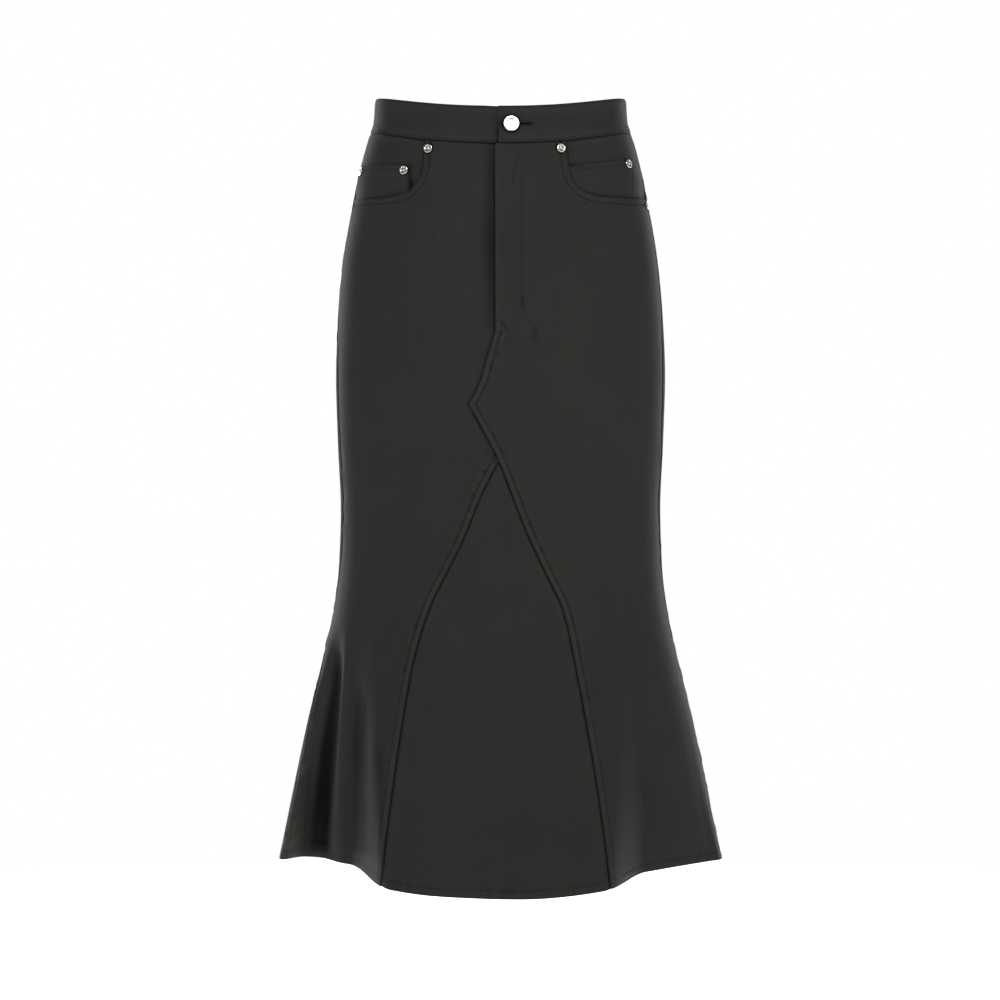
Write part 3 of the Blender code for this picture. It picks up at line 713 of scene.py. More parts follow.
def denim(name, colour):
    """Twill: fine diagonal ribs of uneven yarn, faintly mottled. It is measured in metres along the cloth."""
    material = bpy.data.materials.new(name)
    n = Nodes(material)
    uv, place = n.add("ShaderNodeUVMap", {}, uv_map="cloth").outputs["UV"], n.coordinates("Object")
    split = n.add("ShaderNodeSeparateXYZ", {0: uv})
    u, v = split.outputs[0], split.outputs[1]
    wander = n.spread(n.noise(uv, 900.0), -0.16 * MM, 0.16 * MM)
    diagonal = n.math("ADD", n.math("MULTIPLY_ADD", v, TWILL_UP, n.math("MULTIPLY", u, TWILL_OVER)), wander)
    ribs = n.math("SINE", n.math("MULTIPLY", diagonal, math.tau / RIB_PITCH))
    counter = n.math("MULTIPLY_ADD", v, TWILL_OVER, n.math("MULTIPLY", u, -TWILL_UP))
    picks = n.math("SINE", n.math("MULTIPLY", counter, math.tau / PICK_PITCH))
    weave = n.math("MULTIPLY_ADD", picks, 0.35, ribs)
    fuzz = n.noise(uv, 2600.0, 3.0, 0.7)
    mottle = n.noise(place, 16.0, 3.0, 0.55)
    streak = n.noise(n.stretched(uv, (420.0, 14.0, 1.0)), 1.0)
    shade = n.math("MULTIPLY_ADD", weave, 0.045, n.spread(mottle, 0.95, 1.05))
    shade = n.math("MULTIPLY", shade, n.spread(streak, 0.975, 1.025))
    shade = n.math("MULTIPLY", shade, n.spread(fuzz, 0.93, 1.07))
    # The mesh's attribute carries wear and painted light: paler ridges as wear and painted highlight, painted
    # shade in hollows and under edges.
    wear_and_painted_light = n.add("ShaderNodeAttribute", {}, attribute_name="wear_and_painted_light", attribute_type="GEOMETRY").outputs["Fac"]
    pale_spread = n.spread(n.noise(uv, 500.0, 3.0), 0.05, 0.40)
    rubbed_and_painted_highlight = n.math("MULTIPLY", n.math("MAXIMUM", wear_and_painted_light, 0.0), pale_spread)
    sunk = n.math("MULTIPLY", n.math("MINIMUM", wear_and_painted_light, 0.0), 0.48)
    # Painted shade: a dark ring on the cloth round each trim.
    for centre, radius in TRIM_SHADE_RINGS:
        off = n.add("ShaderNodeVectorMath", {0: place, 1: centre}, operation="DISTANCE").outputs["Value"]
        sunk = n.math("ADD", sunk, n.ramp(off, radius + 0.7 * MM, radius + 2.0 * MM, -1.0, 0.0))
    open_to_light = n.math("MAXIMUM", n.math("ADD", n.math("ADD", rubbed_and_painted_highlight, sunk), 1.0), 0.07)
    height = n.math("MULTIPLY_ADD", fuzz, 0.5, weave)
    n.fill(n.shader, {
        "Base Color": n.tint(colour, n.math("MULTIPLY", shade, open_to_light)),
        "Roughness": n.spread(fuzz, 0.80, 0.92),
        "Normal": n.bump(height, 0.45, 0.12 * MM),
        "Sheen Weight": 0.10,
        "Sheen Roughness": 0.35,
        "Specular IOR Level": 0.20,
    })
    return material


def thread(name, colour):
    material = bpy.data.materials.new(name)
    n = Nodes(material)
    ply = n.noise(n.coordinates("Object"), 2400.0)
    n.fill(n.shader, {
        "Base Color": n.tint(colour, n.spread(ply, 0.8, 1.25)),
        "Roughness": n.spread(ply, 0.70, 0.85),
        "Normal": n.bump(ply, 0.4, 0.1 * MM),
        "Specular IOR Level": 0.2,
    })
    return material


def metal(name, colour, rough):
    """Polished nickel with faint handling marks."""
    material = bpy.data.materials.new(name)
    n = Nodes(material)
    place = n.coordinates("Object")
    smear = n.noise(place, 420.0, 4.0, 0.6)
    scratches = n.noise(n.stretched(place, (9000.0, 900.0, 3000.0)), 1.0)
    n.fill(n.shader, {
        "Base Color": n.tint(colour, n.spread(smear, 0.94, 1.04)),
        "Roughness": n.spread(smear, rough * 0.75, rough * 1.5),
        "Normal": n.bump(scratches, 0.05, 0.05 * MM),
        "Metallic": 1.0,
    })
    return material


RIVETS = table(
    "name x z on",
    ("rivet_pocket_right_top", -0.0741, -0.0405, "front"),
    ("rivet_pocket_left_top", 0.0620, -0.0405, "front"),
    ("rivet_pocket_right_side", -0.1545, -0.0945, "front"),
    ("rivet_pocket_left_side", 0.1524, -0.0930, "front"),
    ("rivet_coin_right_inner", -0.0988, -0.0620, "coin"),
    ("rivet_coin_right_outer", -0.1436, -0.0590, "coin"),
    ("rivet_coin_left_outer", 0.1308, -0.0530, "coin"),
)
# Painted shade: the cloth is painted with a dark ring round each trim.
TRIM_SHADE_RINGS = [(tuple(body(angle_at(rivet.x, rivet.z), rivet.z)), RIVET_RADIUS) for rivet in RIVETS]
TRIM_SHADE_RINGS.append((tuple(body(angle_at(EYE_X, BAND_MIDDLE), BAND_MIDDLE)), BUTTON_RADIUS))
DENIM = denim("denim", (0.0283, 0.0288, 0.0256))
REVERSE = denim("denim reverse", (0.042, 0.042, 0.038))
THREAD = thread("thread", (0.016, 0.016, 0.014))
NICKEL = metal("nickel", (0.80, 0.78, 0.74), 0.20)
DULL_NICKEL = metal("nickel recess", (0.42, 0.41, 0.39), 0.38)


# ---------------- cloth meshes
def new_mesh(name, points, faces, uvs=None, wear_and_painted_light=None, slots=None, materials=(DENIM,), sharp=50):
    mesh = bpy.data.meshes.new(name)
    mesh.from_pydata([tuple(p) for p in points], [], faces)
    for material in materials:
        mesh.materials.append(material)
    if slots is not None:
        mesh.polygons.foreach_set("material_index", slots)
    if uvs is not None:
        corners = np.empty(len(mesh.loops), dtype=np.int32)
        mesh.loops.foreach_get("vertex_index", corners)
        mesh.uv_layers.new(name="cloth").data.foreach_set("uv", np.asarray(uvs, np.float32)[corners].ravel())
    # The cloth's attribute of wear and painted light, which the denim's colour reads.
    if wear_and_painted_light is not None:
        mesh.attributes.new("wear_and_painted_light", "FLOAT", "POINT").data.foreach_set("value", np.asarray(wear_and_painted_light, np.float32))
    mesh.shade_smooth()
    mesh.set_sharp_from_angle(angle=math.radians(sharp))
    obj = bpy.data.objects.new(name, mesh)
    bpy.context.scene.collection.objects.link(obj)
    return obj


def wear_and_shade_of(base, raised, reach=8 * MM):
    """Ridges are paler, as worn cloth and painted highlight, and hollows get painted shade: 1 on a ridge of
    half a millimetre, and -1 in such a hollow.
    """
    mean = raised
    for axis in (0, 1):
        cell = np.linalg.norm(np.diff(base, axis=axis), axis=2).mean()
        span = max(1, min(base.shape[axis] // 3, round(reach / cell)))
        before, after = (np.repeat(np.take(mean, [end], axis), span, axis) for end in (0, -1))
        total = np.cumsum(np.concatenate([before, mean, after], axis), axis=axis)
        total = np.concatenate([np.zeros_like(np.take(total, [0], axis)), total], axis)
        size, width = mean.shape[axis], 2 * span + 1
        mean = (np.take(total, range(width, width + size), axis) - np.take(total, range(size), axis)) / width
    return np.clip((raised - mean) / (0.5 * MM), -1.5, 1.0)


def cloth(node, angle, z, layer, relief, flat, area, thickness=CLOTH, left_out=None, dark=None):
    """A closed, fine wall of cloth in place of a node's. angle and z are grids of rows that run down."""
    normal, base = outward(angle, z), body(angle, z)
    sunk, raised = layer(angle, z), relief(angle, z)
    under = sunk + np.where(raised > 0, 0.35 * raised, raised) - thickness
    outer, inner = (base + normal * height[..., None] for height in (sunk + raised, under))
    rows, columns = angle.shape
    across = np.cumsum(np.linalg.norm(np.diff(base, axis=1, prepend=base[:, :1]), axis=2), axis=1)
    datum = np.median(angle[:, columns // 2])
    across -= np.array([[np.interp(datum, a, u)] for a, u in zip(angle, across)])
    downward = np.cumsum(np.linalg.norm(np.diff(base, axis=0, prepend=base[:1]), axis=2), axis=0)
    uv = np.stack([across, downward], axis=-1).reshape(-1, 2)
    count = rows * columns
    index = np.arange(count).reshape(rows, columns)
    corners = np.stack([index[:-1, :-1], index[1:, :-1], index[1:, 1:], index[:-1, 1:]], axis=-1)
    quads = corners[np.ones(corners.shape[:2], bool) if left_out is None else ~left_out]
    keys = set(zip(quads.ravel().tolist(), np.roll(quads, -1, axis=1).ravel().tolist()))
    rim = sorted((q, p, p + count, q + count) for p, q in keys if (q, p) not in keys)
    faces = quads.tolist() + (quads[:, ::-1] + count).tolist() + rim
    slots = [0] * len(quads) + [1] * len(quads) + [0] * len(rim)
    # Wear and painted light: pale ridges and painted shade in hollows, with the piece's own painted shade and
    # highlight.
    painted_light_and_wear = wear_and_shade_of(base, raised) - (0.0 if dark is None else dark(angle, z))
    both = np.concatenate([painted_light_and_wear.ravel(), np.zeros(count)])
    obj = new_mesh("skin_" + node, np.concatenate([outer.reshape(-1, 3), inner.reshape(-1, 3)]), faces,
                   np.concatenate([uv, uv]), both, slots, (DENIM, REVERSE))
    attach(obj, "root")
    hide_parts(node)
    return obj


def even(first, last, parts):
    return np.linspace(first, last, parts + 1)


def graded(t):
    """Shares that lie closer together near both ends."""
    return t - 0.62 * np.sin(math.tau * t) / math.tau


def between(stops, columns, z, spacing):
    """Angles across a row. stops gives them at a height, and columns how many cells lie between two."""
    segment = np.concatenate([np.full(n, k) for k, n in enumerate(columns)] + [[len(columns) - 1]])
    share = np.concatenate([spacing(np.arange(n) / n) for n in columns] + [[1.0]])
    found = np.stack([np.broadcast_to(stop, z.shape) for stop in stops(z)])
    row, column = np.indices(z.shape)
    segment = np.broadcast_to(segment, z.shape)
    a, b = found[segment, row, column], found[segment + 1, row, column]
    return a + (b - a) * share


def grid_between(top, foot, stops, columns, shares, spacing=lambda t: t):
    """Grids of angles and heights from one edge to another, with rows at the given shares of the way."""
    shares = np.asarray(shares)[:, None] * np.ones(sum(columns) + 1)
    z = np.full(shares.shape, float(np.mean(top(0.0))))
    for _ in range(SETTLING):
        angle = between(stops, columns, z, spacing)
        z = top(angle) + (foot(angle) - top(angle)) * shares
    return angle, z


def at(value):
    return lambda angle: np.full(np.shape(angle), value)


def stacked(*grids):
    return np.concatenate([g[0] for g in grids]), np.concatenate([g[1] for g in grids])


def to_hem(rows):
    """Shares of the way from the flare to the hem."""
    return 1 - (1 - even(0, 1, rows)) ** CROWDING


# ---------------- painted shade and highlight: where the cloth is darker or paler
def tucked_shade(*edges):
    """Painted shade, darkest where a piece goes in under an edge. Each edge is a line, a reach and a depth.
    """

    def dark(angle, z):
        points, total = body(angle, z), np.zeros(np.shape(angle))
        for track, reach, depth in edges:
            d, _ = track.near(points, 3 * reach)
            total = np.maximum(total, depth * hump(d, reach))
        return total

    return dark


# Painted shade along the waist seam.
WAIST_TUCK = (WAIST, 1.8 * MM, 1.3)
# Where the pockets' layers bulge over each other and keep a little shadow.
SHADES = table(
    "side x z half_width half_height depth",
    ("left", 0.0740, -0.0583, 4.5 * MM, 2.6 * MM, 1.5),
    ("left", 0.0830, -0.0590, 3.5 * MM, 1.6 * MM, 0.9),
    ("left", 0.0893, -0.0862, 6.0 * MM, 1.8 * MM, 1.2),
    ("left", 0.1060, -0.0886, 8.0 * MM, 1.6 * MM, 1.5),
    ("right", -0.0925, -0.0755, 2.3 * MM, 8.0 * MM, 2.2),
    ("right", -0.1090, -0.0855, 11.0 * MM, 2.2 * MM, 0.7),
)


def side_tuck(side):
    return SIDES[side], 1.4 * MM, 0.8


def pocket_dark(side, *edges):
    """Painted shade on a facing or a coin pocket, along its edges and in the pocket's shades."""
    seams = tucked_shade(*edges)

    def dark(angle, z):
        x, total = x_at(angle, z), seams(angle, z)
        for shade in SHADES:
            if shade.side == side:
                spot = hump(x - shade.x, shade.half_width) * hump(z - shade.z, shade.half_height)
                total = np.maximum(total, shade.depth * spot)
        return total

    return dark


def flare_painted_highlight(angle, z):
    """Painted highlight: the right side seam's flare is painted pale along its lumpy seam, where light
    catches it.
    """
    d, s = SIDES["right"].near(body(angle, z), 0.045)
    low = ease((-0.560 - z) / 0.130)
    in_front = np.asarray(angle) % math.tau > SIDES["right"].angle[-1] % math.tau - 0.12
    width = np.where(in_front, np.clip(2 * MM + 0.105 * (-0.599 - z), 2 * MM, 20 * MM), 14 * MM)
    lumps = 1 + 0.35 * smooth_noise(s + 0.7 * d, 6.5 * MM, 14) + 0.20 * smooth_noise(s - 1.3 * d, 19 * MM, 15)
    return 5.0 * low * lumps * hump(d, width, 3)


def left_front_dark():
    tack = bar(angle_at(*FLY_TACK), FLY_TACK[1], 9 * MM)
    seams = tucked_shade(WAIST_TUCK, side_tuck("left"), (tack, 1.1 * MM, 1.6))

    def dark(angle, z):
        # Painted shade along the waist, the side seam and round the fly's bartack, and on a bank of the left
        # flare.
        bank = ease((-0.600 - z) / 0.120) * hump(x_at(angle, z) - 0.1335, 12.5 * MM)
        return seams(angle, z) + 0.45 * bank

    return dark


def right_front_dark():
    seams, under = tucked_shade(WAIST_TUCK, side_tuck("right")), tucked_shade((OVERLAP, 1.8 * MM, 1.9))

    def dark(angle, z):
        # Painted shade: a soft shadow beside the fly's edge, darker under the lap, and in the flare's folds;
        # painted highlight on the flare's side seam.
        d, s = OVERLAP.near(body(angle, z), 0.030)
        low = ease((-0.150 - z) / 0.06)
        fly = ease((z + 0.238) / 0.02) * (0.78 + 0.22 * smooth_noise(s, 45 * MM, 5))
        fly = fly * (0.62 + 0.38 * ease((-0.10 - z) / 0.05))
        soft = 1.30 * fly * (1 - 0.50 * low) * hump(d, (10.0 - 4.0 * low) * MM, 3)
        folds = np.maximum(under(angle, z), soft) + valley_painted_shade(angle, z)
        return np.maximum(seams(angle, z), folds) - flare_painted_highlight(angle, z)

    return dark


# ---------------- the pieces of cloth
def front_panel(side, inner_x, layer, waists, area, dark):
    """One of the fronts. Its columns fan out from the lap, the waist and the mouth down to the hem."""
    sign, corner = SIGN[side], float(mouth_place(side, 0.0)[0])

    def ends(z):
        inner, outer = angle_at(inner_x(z), z), side_seam(side, z)
        return inner, shifted(inner, z, sign * ALLOWANCE), shifted(outer, z, -sign * SEAM_GAP / 2)

    _, lap, outer = ends(np.float64(LEVEL_ROW))
    lean = (corner - sign * CORNER_LEAN - lap) / (outer - lap)
    outwards = lean + (1 - lean) * even(0, 1, MOUTH_COLUMNS)[1:] ** COLUMN_SPREAD
    shares = np.concatenate([np.zeros(LAP_COLUMNS), even(0, lean, waists), outwards])
    column = np.arange(len(shares))

    def across(z):
        inner, lap, outer = ends(z)
        lapped = inner + (lap - inner) * column / LAP_COLUMNS
        return np.where(column < LAP_COLUMNS, lapped, lap + (outer - lap) * shares)

    inner, lap, _ = ends(np.float64(FRONT_WAIST))
    lapped = inner + (lap - inner) * column[:LAP_COLUMNS] / LAP_COLUMNS
    top_angle = np.concatenate([lapped, even(lap, corner, waists)])
    mouth = mouth_place(side, even(0, 2, MOUTH_COLUMNS)[1:])
    tops = np.concatenate([top_angle, mouth[0]]), np.concatenate([below_waist(top_angle), mouth[1]])
    share = (np.arange(TOP_ROWS)[:, None] / TOP_ROWS) ** 1.15
    feet = across(np.array([[LEVEL_ROW]]))[0], LEVEL_ROW
    upper = [top + (foot - top) * share for top, foot in zip(tops, feet)]
    marks = [LEVEL_ROW, *(place.z for place in CROTCH), APEX + 0.0015, APEX - 0.0025, FLARE]
    spans = [even(a, b, max(2, round((a - b) / CELL))) for a, b in zip(marks, marks[1:])]
    levels = np.unique(np.concatenate(spans))[::-1, None]
    middle = across(levels), levels * np.ones(len(shares))
    way = to_hem(FOOT_ROWS)[1:, None] * np.ones(len(shares))
    z = FLARE + (SIDE_HEM - FLARE) * way
    for _ in range(SETTLING):
        angle = across(z)
        z = FLARE + (hem(angle) - FLARE) * way
    angle, z = stacked(upper, middle, (angle, z))
    if side == "right":
        angle, z = angle[:, ::-1], z[:, ::-1]
    return cloth(f"front_{side}", angle, z, layer, front_relief(side), (0.28, 0.79), area, dark=dark)


def gusset():
    def stops(z):
        right, left = right_inseam_x(z), overlap_edge(z)
        half, middle = np.maximum((left - right) / 2, GUSSET_HALF_WIDTH), (left + right) / 2
        first, last = angle_at(middle - half, z), angle_at(middle + half, z)
        return shifted(first, z, -ALLOWANCE), first, last, shifted(last, z, ALLOWANCE)

    columns = (7, 80, 7)
    upper = grid_between(at(GUSSET_TOP), at(FLARE), stops, columns, even(0, 1, 50)[:-1])
    lower = grid_between(at(FLARE), hem, stops, columns, to_hem(98))
    # Painted shade where the gusset goes in under the fronts' edges.
    dark = tucked_shade((OVERLAP, 1.6 * MM, 1.7), (RIGHT_LEG, 1.6 * MM, 1.7))
    return cloth("front_gusset", *stacked(upper, lower), gusset_layer, gusset_relief, (0.26, 0.45), 0.0753,
                 dark=dark)


def back(side):
    def stops(z):
        """The side seam and the centre back, where the two backs meet with no gap for light."""
        seam, middle = side_seam(side, z) % math.tau, np.full(np.shape(z), np.pi)
        in_side, in_middle = 0.02 * MM, -0.06 * MM
        if side == "right":
            return shifted(middle, z, in_middle), shifted(seam, z, -in_side)
        return shifted(seam, z, in_side), shifted(middle, z, -in_middle)

    upper = grid_between(below_waist, at(FLARE), stops, (110,), even(0, 1, 150)[:-1] ** 1.2, graded)
    lower = grid_between(at(FLARE), hem, stops, (110,), to_hem(88), graded)
    # Painted shade along the waist, the side seam and the centre back, and on the right, painted highlight on
    # the flare.
    seams = tucked_shade(WAIST_TUCK, side_tuck(side), (CENTRE_BACK, 1.4 * MM, 0.8))

    def dark(angle, z):
        return seams(angle, z) - (flare_painted_highlight(angle, z) if side == "right" else 0.0)

    return cloth(f"back_{side}", *stacked(upper, lower), flat_layer, back_relief(side), (0.37, 0.79), 0.213,
                 dark=dark)


def facing(side):
    sign, lines = SIGN[side], COIN_LINES[side]

    def stops(z):
        inner = np.full(np.shape(z), float(angle_at(MOUTH_INNER_X[side] - sign * FACING_UNDER, MOUTH_TOP)))
        outer = shifted(side_seam(side, z), z, -sign * SEAM_GAP / 2)
        return (inner, outer) if side == "left" else (outer, inner)

    angle, z = grid_between(below_waist, at(FACING_FOOT), stops, (60,), even(0, 1, 44))
    # Painted shade under the mouth's edge, along the waist and along the coin pocket's edges.
    dark = pocket_dark(side, (MOUTHS[side], 2.2 * MM, 1.6), WAIST_TUCK, (lines["inner"], 1.8 * MM, 1.7),
                       (lines["top"], 1.0 * MM, 0.3))
    return cloth(f"pocket_facing_{side}", angle, z, facing_layer(side), facing_relief(side),
                 (0.125, 0.085), 0.0097, dark=dark)


def coin(pocket):
    side, t, s = pocket.side, even(0, 1, 32)[:, None], even(0, 1, 44)[None, :]
    top_z = pocket.inner_top[1] + (pocket.outer_top[1] - pocket.inner_top[1]) * s
    z = top_z + (pocket.foot - top_z) * t
    inner_x = pocket.inner_top[0] + (pocket.inner_foot - pocket.inner_top[0]) * t
    outer_x = pocket.outer_top[0] + (pocket.outer_foot - pocket.outer_top[0]) * t
    inner, outer = (angle_at(x * np.ones(s.shape), z) for x in (inner_x, outer_x))
    angle = inner + (outer - inner) * s
    if side == "right":
        angle, z = angle[:, ::-1], z[:, ::-1]
    # Painted shade under the mouth's edge.
    dark = pocket_dark(side, (MOUTHS[side], 2.0 * MM, 1.2))
    return cloth(f"coin_pocket_{side}", angle, z, coin_layer(side), coin_relief(side), (0.080, 0.050), 0.0037,
                 dark=dark)


def waistband():
    height = FRONT_TOP - FRONT_WAIST
    marks = [0.5 + half / height for half in (-EYE_HALF, -SLIT_HALF, SLIT_HALF, EYE_HALF)]
    edge_rows, hole_rows = 12, 2  # from the band's edge to the buttonhole, and between the hole's own levels
    outer = even(0, 1, edge_rows) ** 1.2
    shares = np.concatenate([outer * marks[0], *(even(a, b, hole_rows)[1:] for a, b in zip(marks, marks[1:])),
                             1 - (outer * (1 - marks[3]))[-2::-1]])
    before, eye, slit = 6, 4, 12  # columns before the buttonhole's eye, over it, and over the slit
    stops = (BAND_END_X, EYE_X - EYE_HALF, EYE_X + EYE_HALF, SLIT_END_X)
    xs = [even(a, b, n)[1:] for a, b, n in zip(stops, stops[1:], (before, eye, slit))]
    first = angle_at(np.concatenate([[BAND_END_X], *xs]), BAND_MIDDLE)
    ramp_top = BAND_END_X - LAP_FLAT - LAP_RAMP
    around = even(first[-1], float(angle_at(ramp_top, BAND_MIDDLE)) + math.tau, 260)[1:]
    lap = angle_at(even(ramp_top, BAND_UNDERLAP_X, 24)[1:], BAND_MIDDLE) + math.tau
    angles = np.concatenate([first, around, lap])
    angle = np.repeat(angles[None, :], len(shares), axis=0)
    z = band_top(angle) + (waist_seam(angle) - band_top(angle)) * shares[:, None]
    left_out = np.zeros((len(shares) - 1, len(angles) - 1), bool)
    slit_top = edge_rows + hole_rows
    left_out[edge_rows : edge_rows + 3 * hole_rows, before : before + eye] = True
    left_out[slit_top : slit_top + hole_rows, before + eye : before + eye + slit] = True

    def dark(angle, z):
        # Painted shade round the button, along the buttonhole's slit and at the band's lapped end.
        x = x_at(angle, z)
        by_button = hump(np.hypot(x - EYE_X, z - BAND_MIDDLE) - BUTTON_RADIUS, 1.6 * MM)
        by_end = np.where(angle > 1.5 * np.pi, hump(BAND_END_X - x, 3.6 * MM), 0.0)
        low = ease((BAND_MIDDLE - z) / 0.010 + 0.2)
        tail = np.clip((SLIT_END_X + 2 * MM - x) / (SLIT_END_X - EYE_X - BUTTON_RADIUS), 0.0, 1.0)
        by_slit = 1.1 * ease(tail * 2) * hump(z - BAND_MIDDLE, (1.2 + 1.8 * tail) * MM)
        near_front = np.where(angle < 0.5 * np.pi, np.maximum(0.8 * by_button, by_slit), 0.0)
        return near_front + by_end * (0.25 + 1.6 * low)

    return cloth("waistband", angle, z, band_layer, band_relief, (0.775, 0.0375), 0.029, BAND,
                 left_out, dark)


# ---------------- topstitching
def stitches(name, tracks, layer_and_relief, pitch=3.1 * MM, gap=0.55 * MM, radius=0.27 * MM):
    """Rows of lockstitch: each stitch is a short thread whose ends dive into the cloth. With no pitch, each
    line is one stitch."""
    rings, sides = 6, 6
    block = rings * sides
    edges = [(i * sides + j, i * sides + (j + 1) % sides) for i in range(rings - 1) for j in range(sides)]
    pattern = [(a, b, b + sides, a + sides) for a, b in edges]
    pattern += [tuple(range(sides))[::-1], tuple(range(block - sides, block))]
    turn = np.arange(sides)[:, None] * math.tau / sides
    arch = np.sin(np.linspace(0, np.pi, rings)) ** 0.7
    thick = (radius * (0.55 + 0.45 * arch))[None, :, None, None]
    layer, relief = layer_and_relief
    points = []
    for track in tracks:
        whole = int((track.s[-1] - gap) / pitch) if pitch else 1
        long = pitch or track.s[-1]
        start = (track.s[-1] - whole * long) / 2
        s = start + long * np.arange(whole)[:, None] + gap / 2 + (long - gap) * np.linspace(0, 1, rings)
        angle, z = np.interp(s, track.s, track.angle), np.interp(s, track.s, track.z)
        normal = outward(angle, z)
        lift = layer(angle, z) + relief(angle, z) + radius * (1.5 * arch - 1.0)
        centre = body(angle, z) + normal * lift[..., None]
        sideways = unit(np.cross(unit(np.gradient(centre, axis=1)), normal))
        around = np.cos(turn) * sideways[:, :, None] + 0.85 * np.sin(turn) * normal[:, :, None]
        points.append((centre[:, :, None] + thick * around).reshape(-1, 3))
    points = np.concatenate(points)
    faces = [tuple(first + k for k in face) for first in range(0, len(points), block) for face in pattern]
    obj = new_mesh(name, points, faces, materials=(THREAD,), sharp=80)
    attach(obj, "root")
    return obj


def bar(angle, z, length, tilt=0.0):
    """A short straight line for a bartack."""
    t = np.linspace(-0.5, 0.5, 12) * length
    place = np.full(12, float(angle)), np.full(12, float(z))
    return Track(*moved(*place, t * math.sin(tilt), -t * math.cos(tilt)), 0.3 * MM)


def bartack(name, x, z, length, tilt, layer_and_relief):
    """A dense zigzag of thread across a short line."""
    rows, spine = [], bar(angle_at(x, z), z, length, tilt)
    across = np.linspace(-0.5, 0.5, 5) * 1.6 * MM
    for s in np.arange(0.2 * MM, spine.s[-1], ZIGZAG):
        place = np.full(5, np.interp(s, spine.s, spine.angle)), np.full(5, np.interp(s, spine.s, spine.z))
        rows.append(Track(*moved(*place, across * math.cos(tilt), across * math.sin(tilt)), 0.2 * MM))
    return stitches(name, rows, layer_and_relief, None, 0.0, ZIGZAG_RADIUS)


def seam_stitching():
    left, right = (left_front_layer, front_relief("left")), (draped_right_layer, front_relief("right"))
    fly_foot = float(OVERLAP.s[np.argmin(np.abs(OVERLAP.z - CROTCH[0].z))])
    stitches("thread_front_left", [FLY_STITCHED, OVERLAP.part(fly_foot - 2 * MM, -MM).offset(STITCH_IN),
                                   MOUTHS["left"].part(MM, -MM).offset(-STITCH_IN)], left)
    stitches("thread_front_right", [RIGHT_LEG.part(6 * MM, -MM).offset(-STITCH_IN),
                                    MOUTHS["right"].part(MM, -MM).offset(STITCH_IN)], right)
    bartack("thread_fly_tack", *FLY_TACK, 11 * MM, 0.0, left)
    bartack("thread_fly_foot_tack", 0.0000, -0.2300, 6 * MM, 1.2, left)
    centre = CENTRE_BACK.offset(-STITCH_IN)
    for side, more in (("right", []), ("left", [centre])):
        lines = [SIDES[side].offset(SIGN[side] * STITCH_IN)] + more
        stitches(f"thread_back_{side}", lines, (flat_layer, back_relief(side)))


def hem_stitching():
    """The hem's row of stitches, on whichever piece carries it."""
    side_right, leg_right, leg_left, side_left = (
        track.angle[-1] for track in (SIDES["right"], RIGHT_LEG, OVERLAP, SIDES["left"])
    )
    for name, layer, relief, first, last, places in (
        ("right", draped_right_layer, front_relief("right"), side_right, leg_right, 300),
        ("gusset", gusset_layer, gusset_relief, leg_right, leg_left, 300),
        ("left", flat_layer, front_relief("left"), leg_left, side_left, 300),
        ("back_right", flat_layer, back_relief("right"), np.pi, side_right + math.tau, 400),
        ("back_left", flat_layer, back_relief("left"), side_left, np.pi, 400),
    ):
        angle = np.linspace(first + HEM_ENDS, last - HEM_ENDS, places)
        stitches(f"thread_hem_{name}", [Track(angle, hem(angle) + HEM_STITCH_IN)], (layer, relief))


def coin_stitching(side):
    lines, sign = COIN_LINES[side], SIGN[side]
    rows = [lines["top"].part(2 * MM, -2 * MM).offset(-sign * COIN_TOP_IN),
            lines["inner"].part(2 * MM, -8 * MM).offset(sign * COIN_SIDE_IN),
            lines["outer"].part(2 * MM, -8 * MM).offset(-sign * COIN_SIDE_IN)]
    lies = coin_layer(side), coin_relief(side)
    stitches(f"thread_coin_{side}", rows, lies, 2.6 * MM, 0.45 * MM, 0.23 * MM)


def band_stitching():
    start, end = (float(angle_at(BAND_END_X + off, -0.016)) for off in (2 * MM, -MM))
    angle = np.linspace(start, end + math.tau, 1400)
    rows = [Track(angle, band_top(angle) - BAND_STITCH_IN), Track(angle, waist_seam(angle) + BAND_STITCH_IN)]
    z = np.linspace(float(band_top(start)) - 3 * MM, float(waist_seam(start)) + 3 * MM, 40)
    rows.append(Track(angle_at(np.full(40, BAND_END_X + BAND_STITCH_IN), z), z))
    stitches("thread_band", rows, (band_layer, band_relief))


def buttonhole():
    """Close thread round the eye and the slit, and a tack across the slit's end."""
    legs = []

    def leg(x, z, dx, dz, width):
        k = np.linspace(-0.5, 0.5, 5) * width
        legs.append(Track(angle_at(x + dx * k, z + dz * k), z + dz * k, 0.2 * MM))

    rim = EYE_HALF + 0.9 * MM
    eye = np.radians(np.linspace(28, 332, 60))
    slit = EYE_X + rim * 0.88 + (SLIT_END_X - EYE_X - rim * 0.88) * np.linspace(0, 1, 60)
    off = (SLIT_HALF + 0.6 * MM) * np.ones(60)
    lines = ((EYE_X + rim * np.cos(eye), BAND_MIDDLE + rim * np.sin(eye)), (slit, BAND_MIDDLE - off),
             (slit, BAND_MIDDLE + off))
    for x, z in lines:
        s = np.concatenate([[0], np.cumsum(np.hypot(np.diff(x), np.diff(z)))])
        for along in np.arange(0, s[-1], ZIGZAG):
            cx, cz = np.interp(along, s, x), np.interp(along, s, z)
            out = (0.0, 1.0) if x is slit else ((cx - EYE_X) / rim, (cz - BAND_MIDDLE) / rim)
            leg(cx, cz, *out, 1.7 * MM)
    for cx in np.arange(SLIT_END_X, SLIT_END_X + 1.6 * MM, 0.4 * MM):
        leg(cx, BAND_MIDDLE, 0.0, 1.0, 4.4 * MM)
    stitches("thread_buttonhole", legs, (band_layer, band_relief), None, 0.0, ZIGZAG_RADIUS)


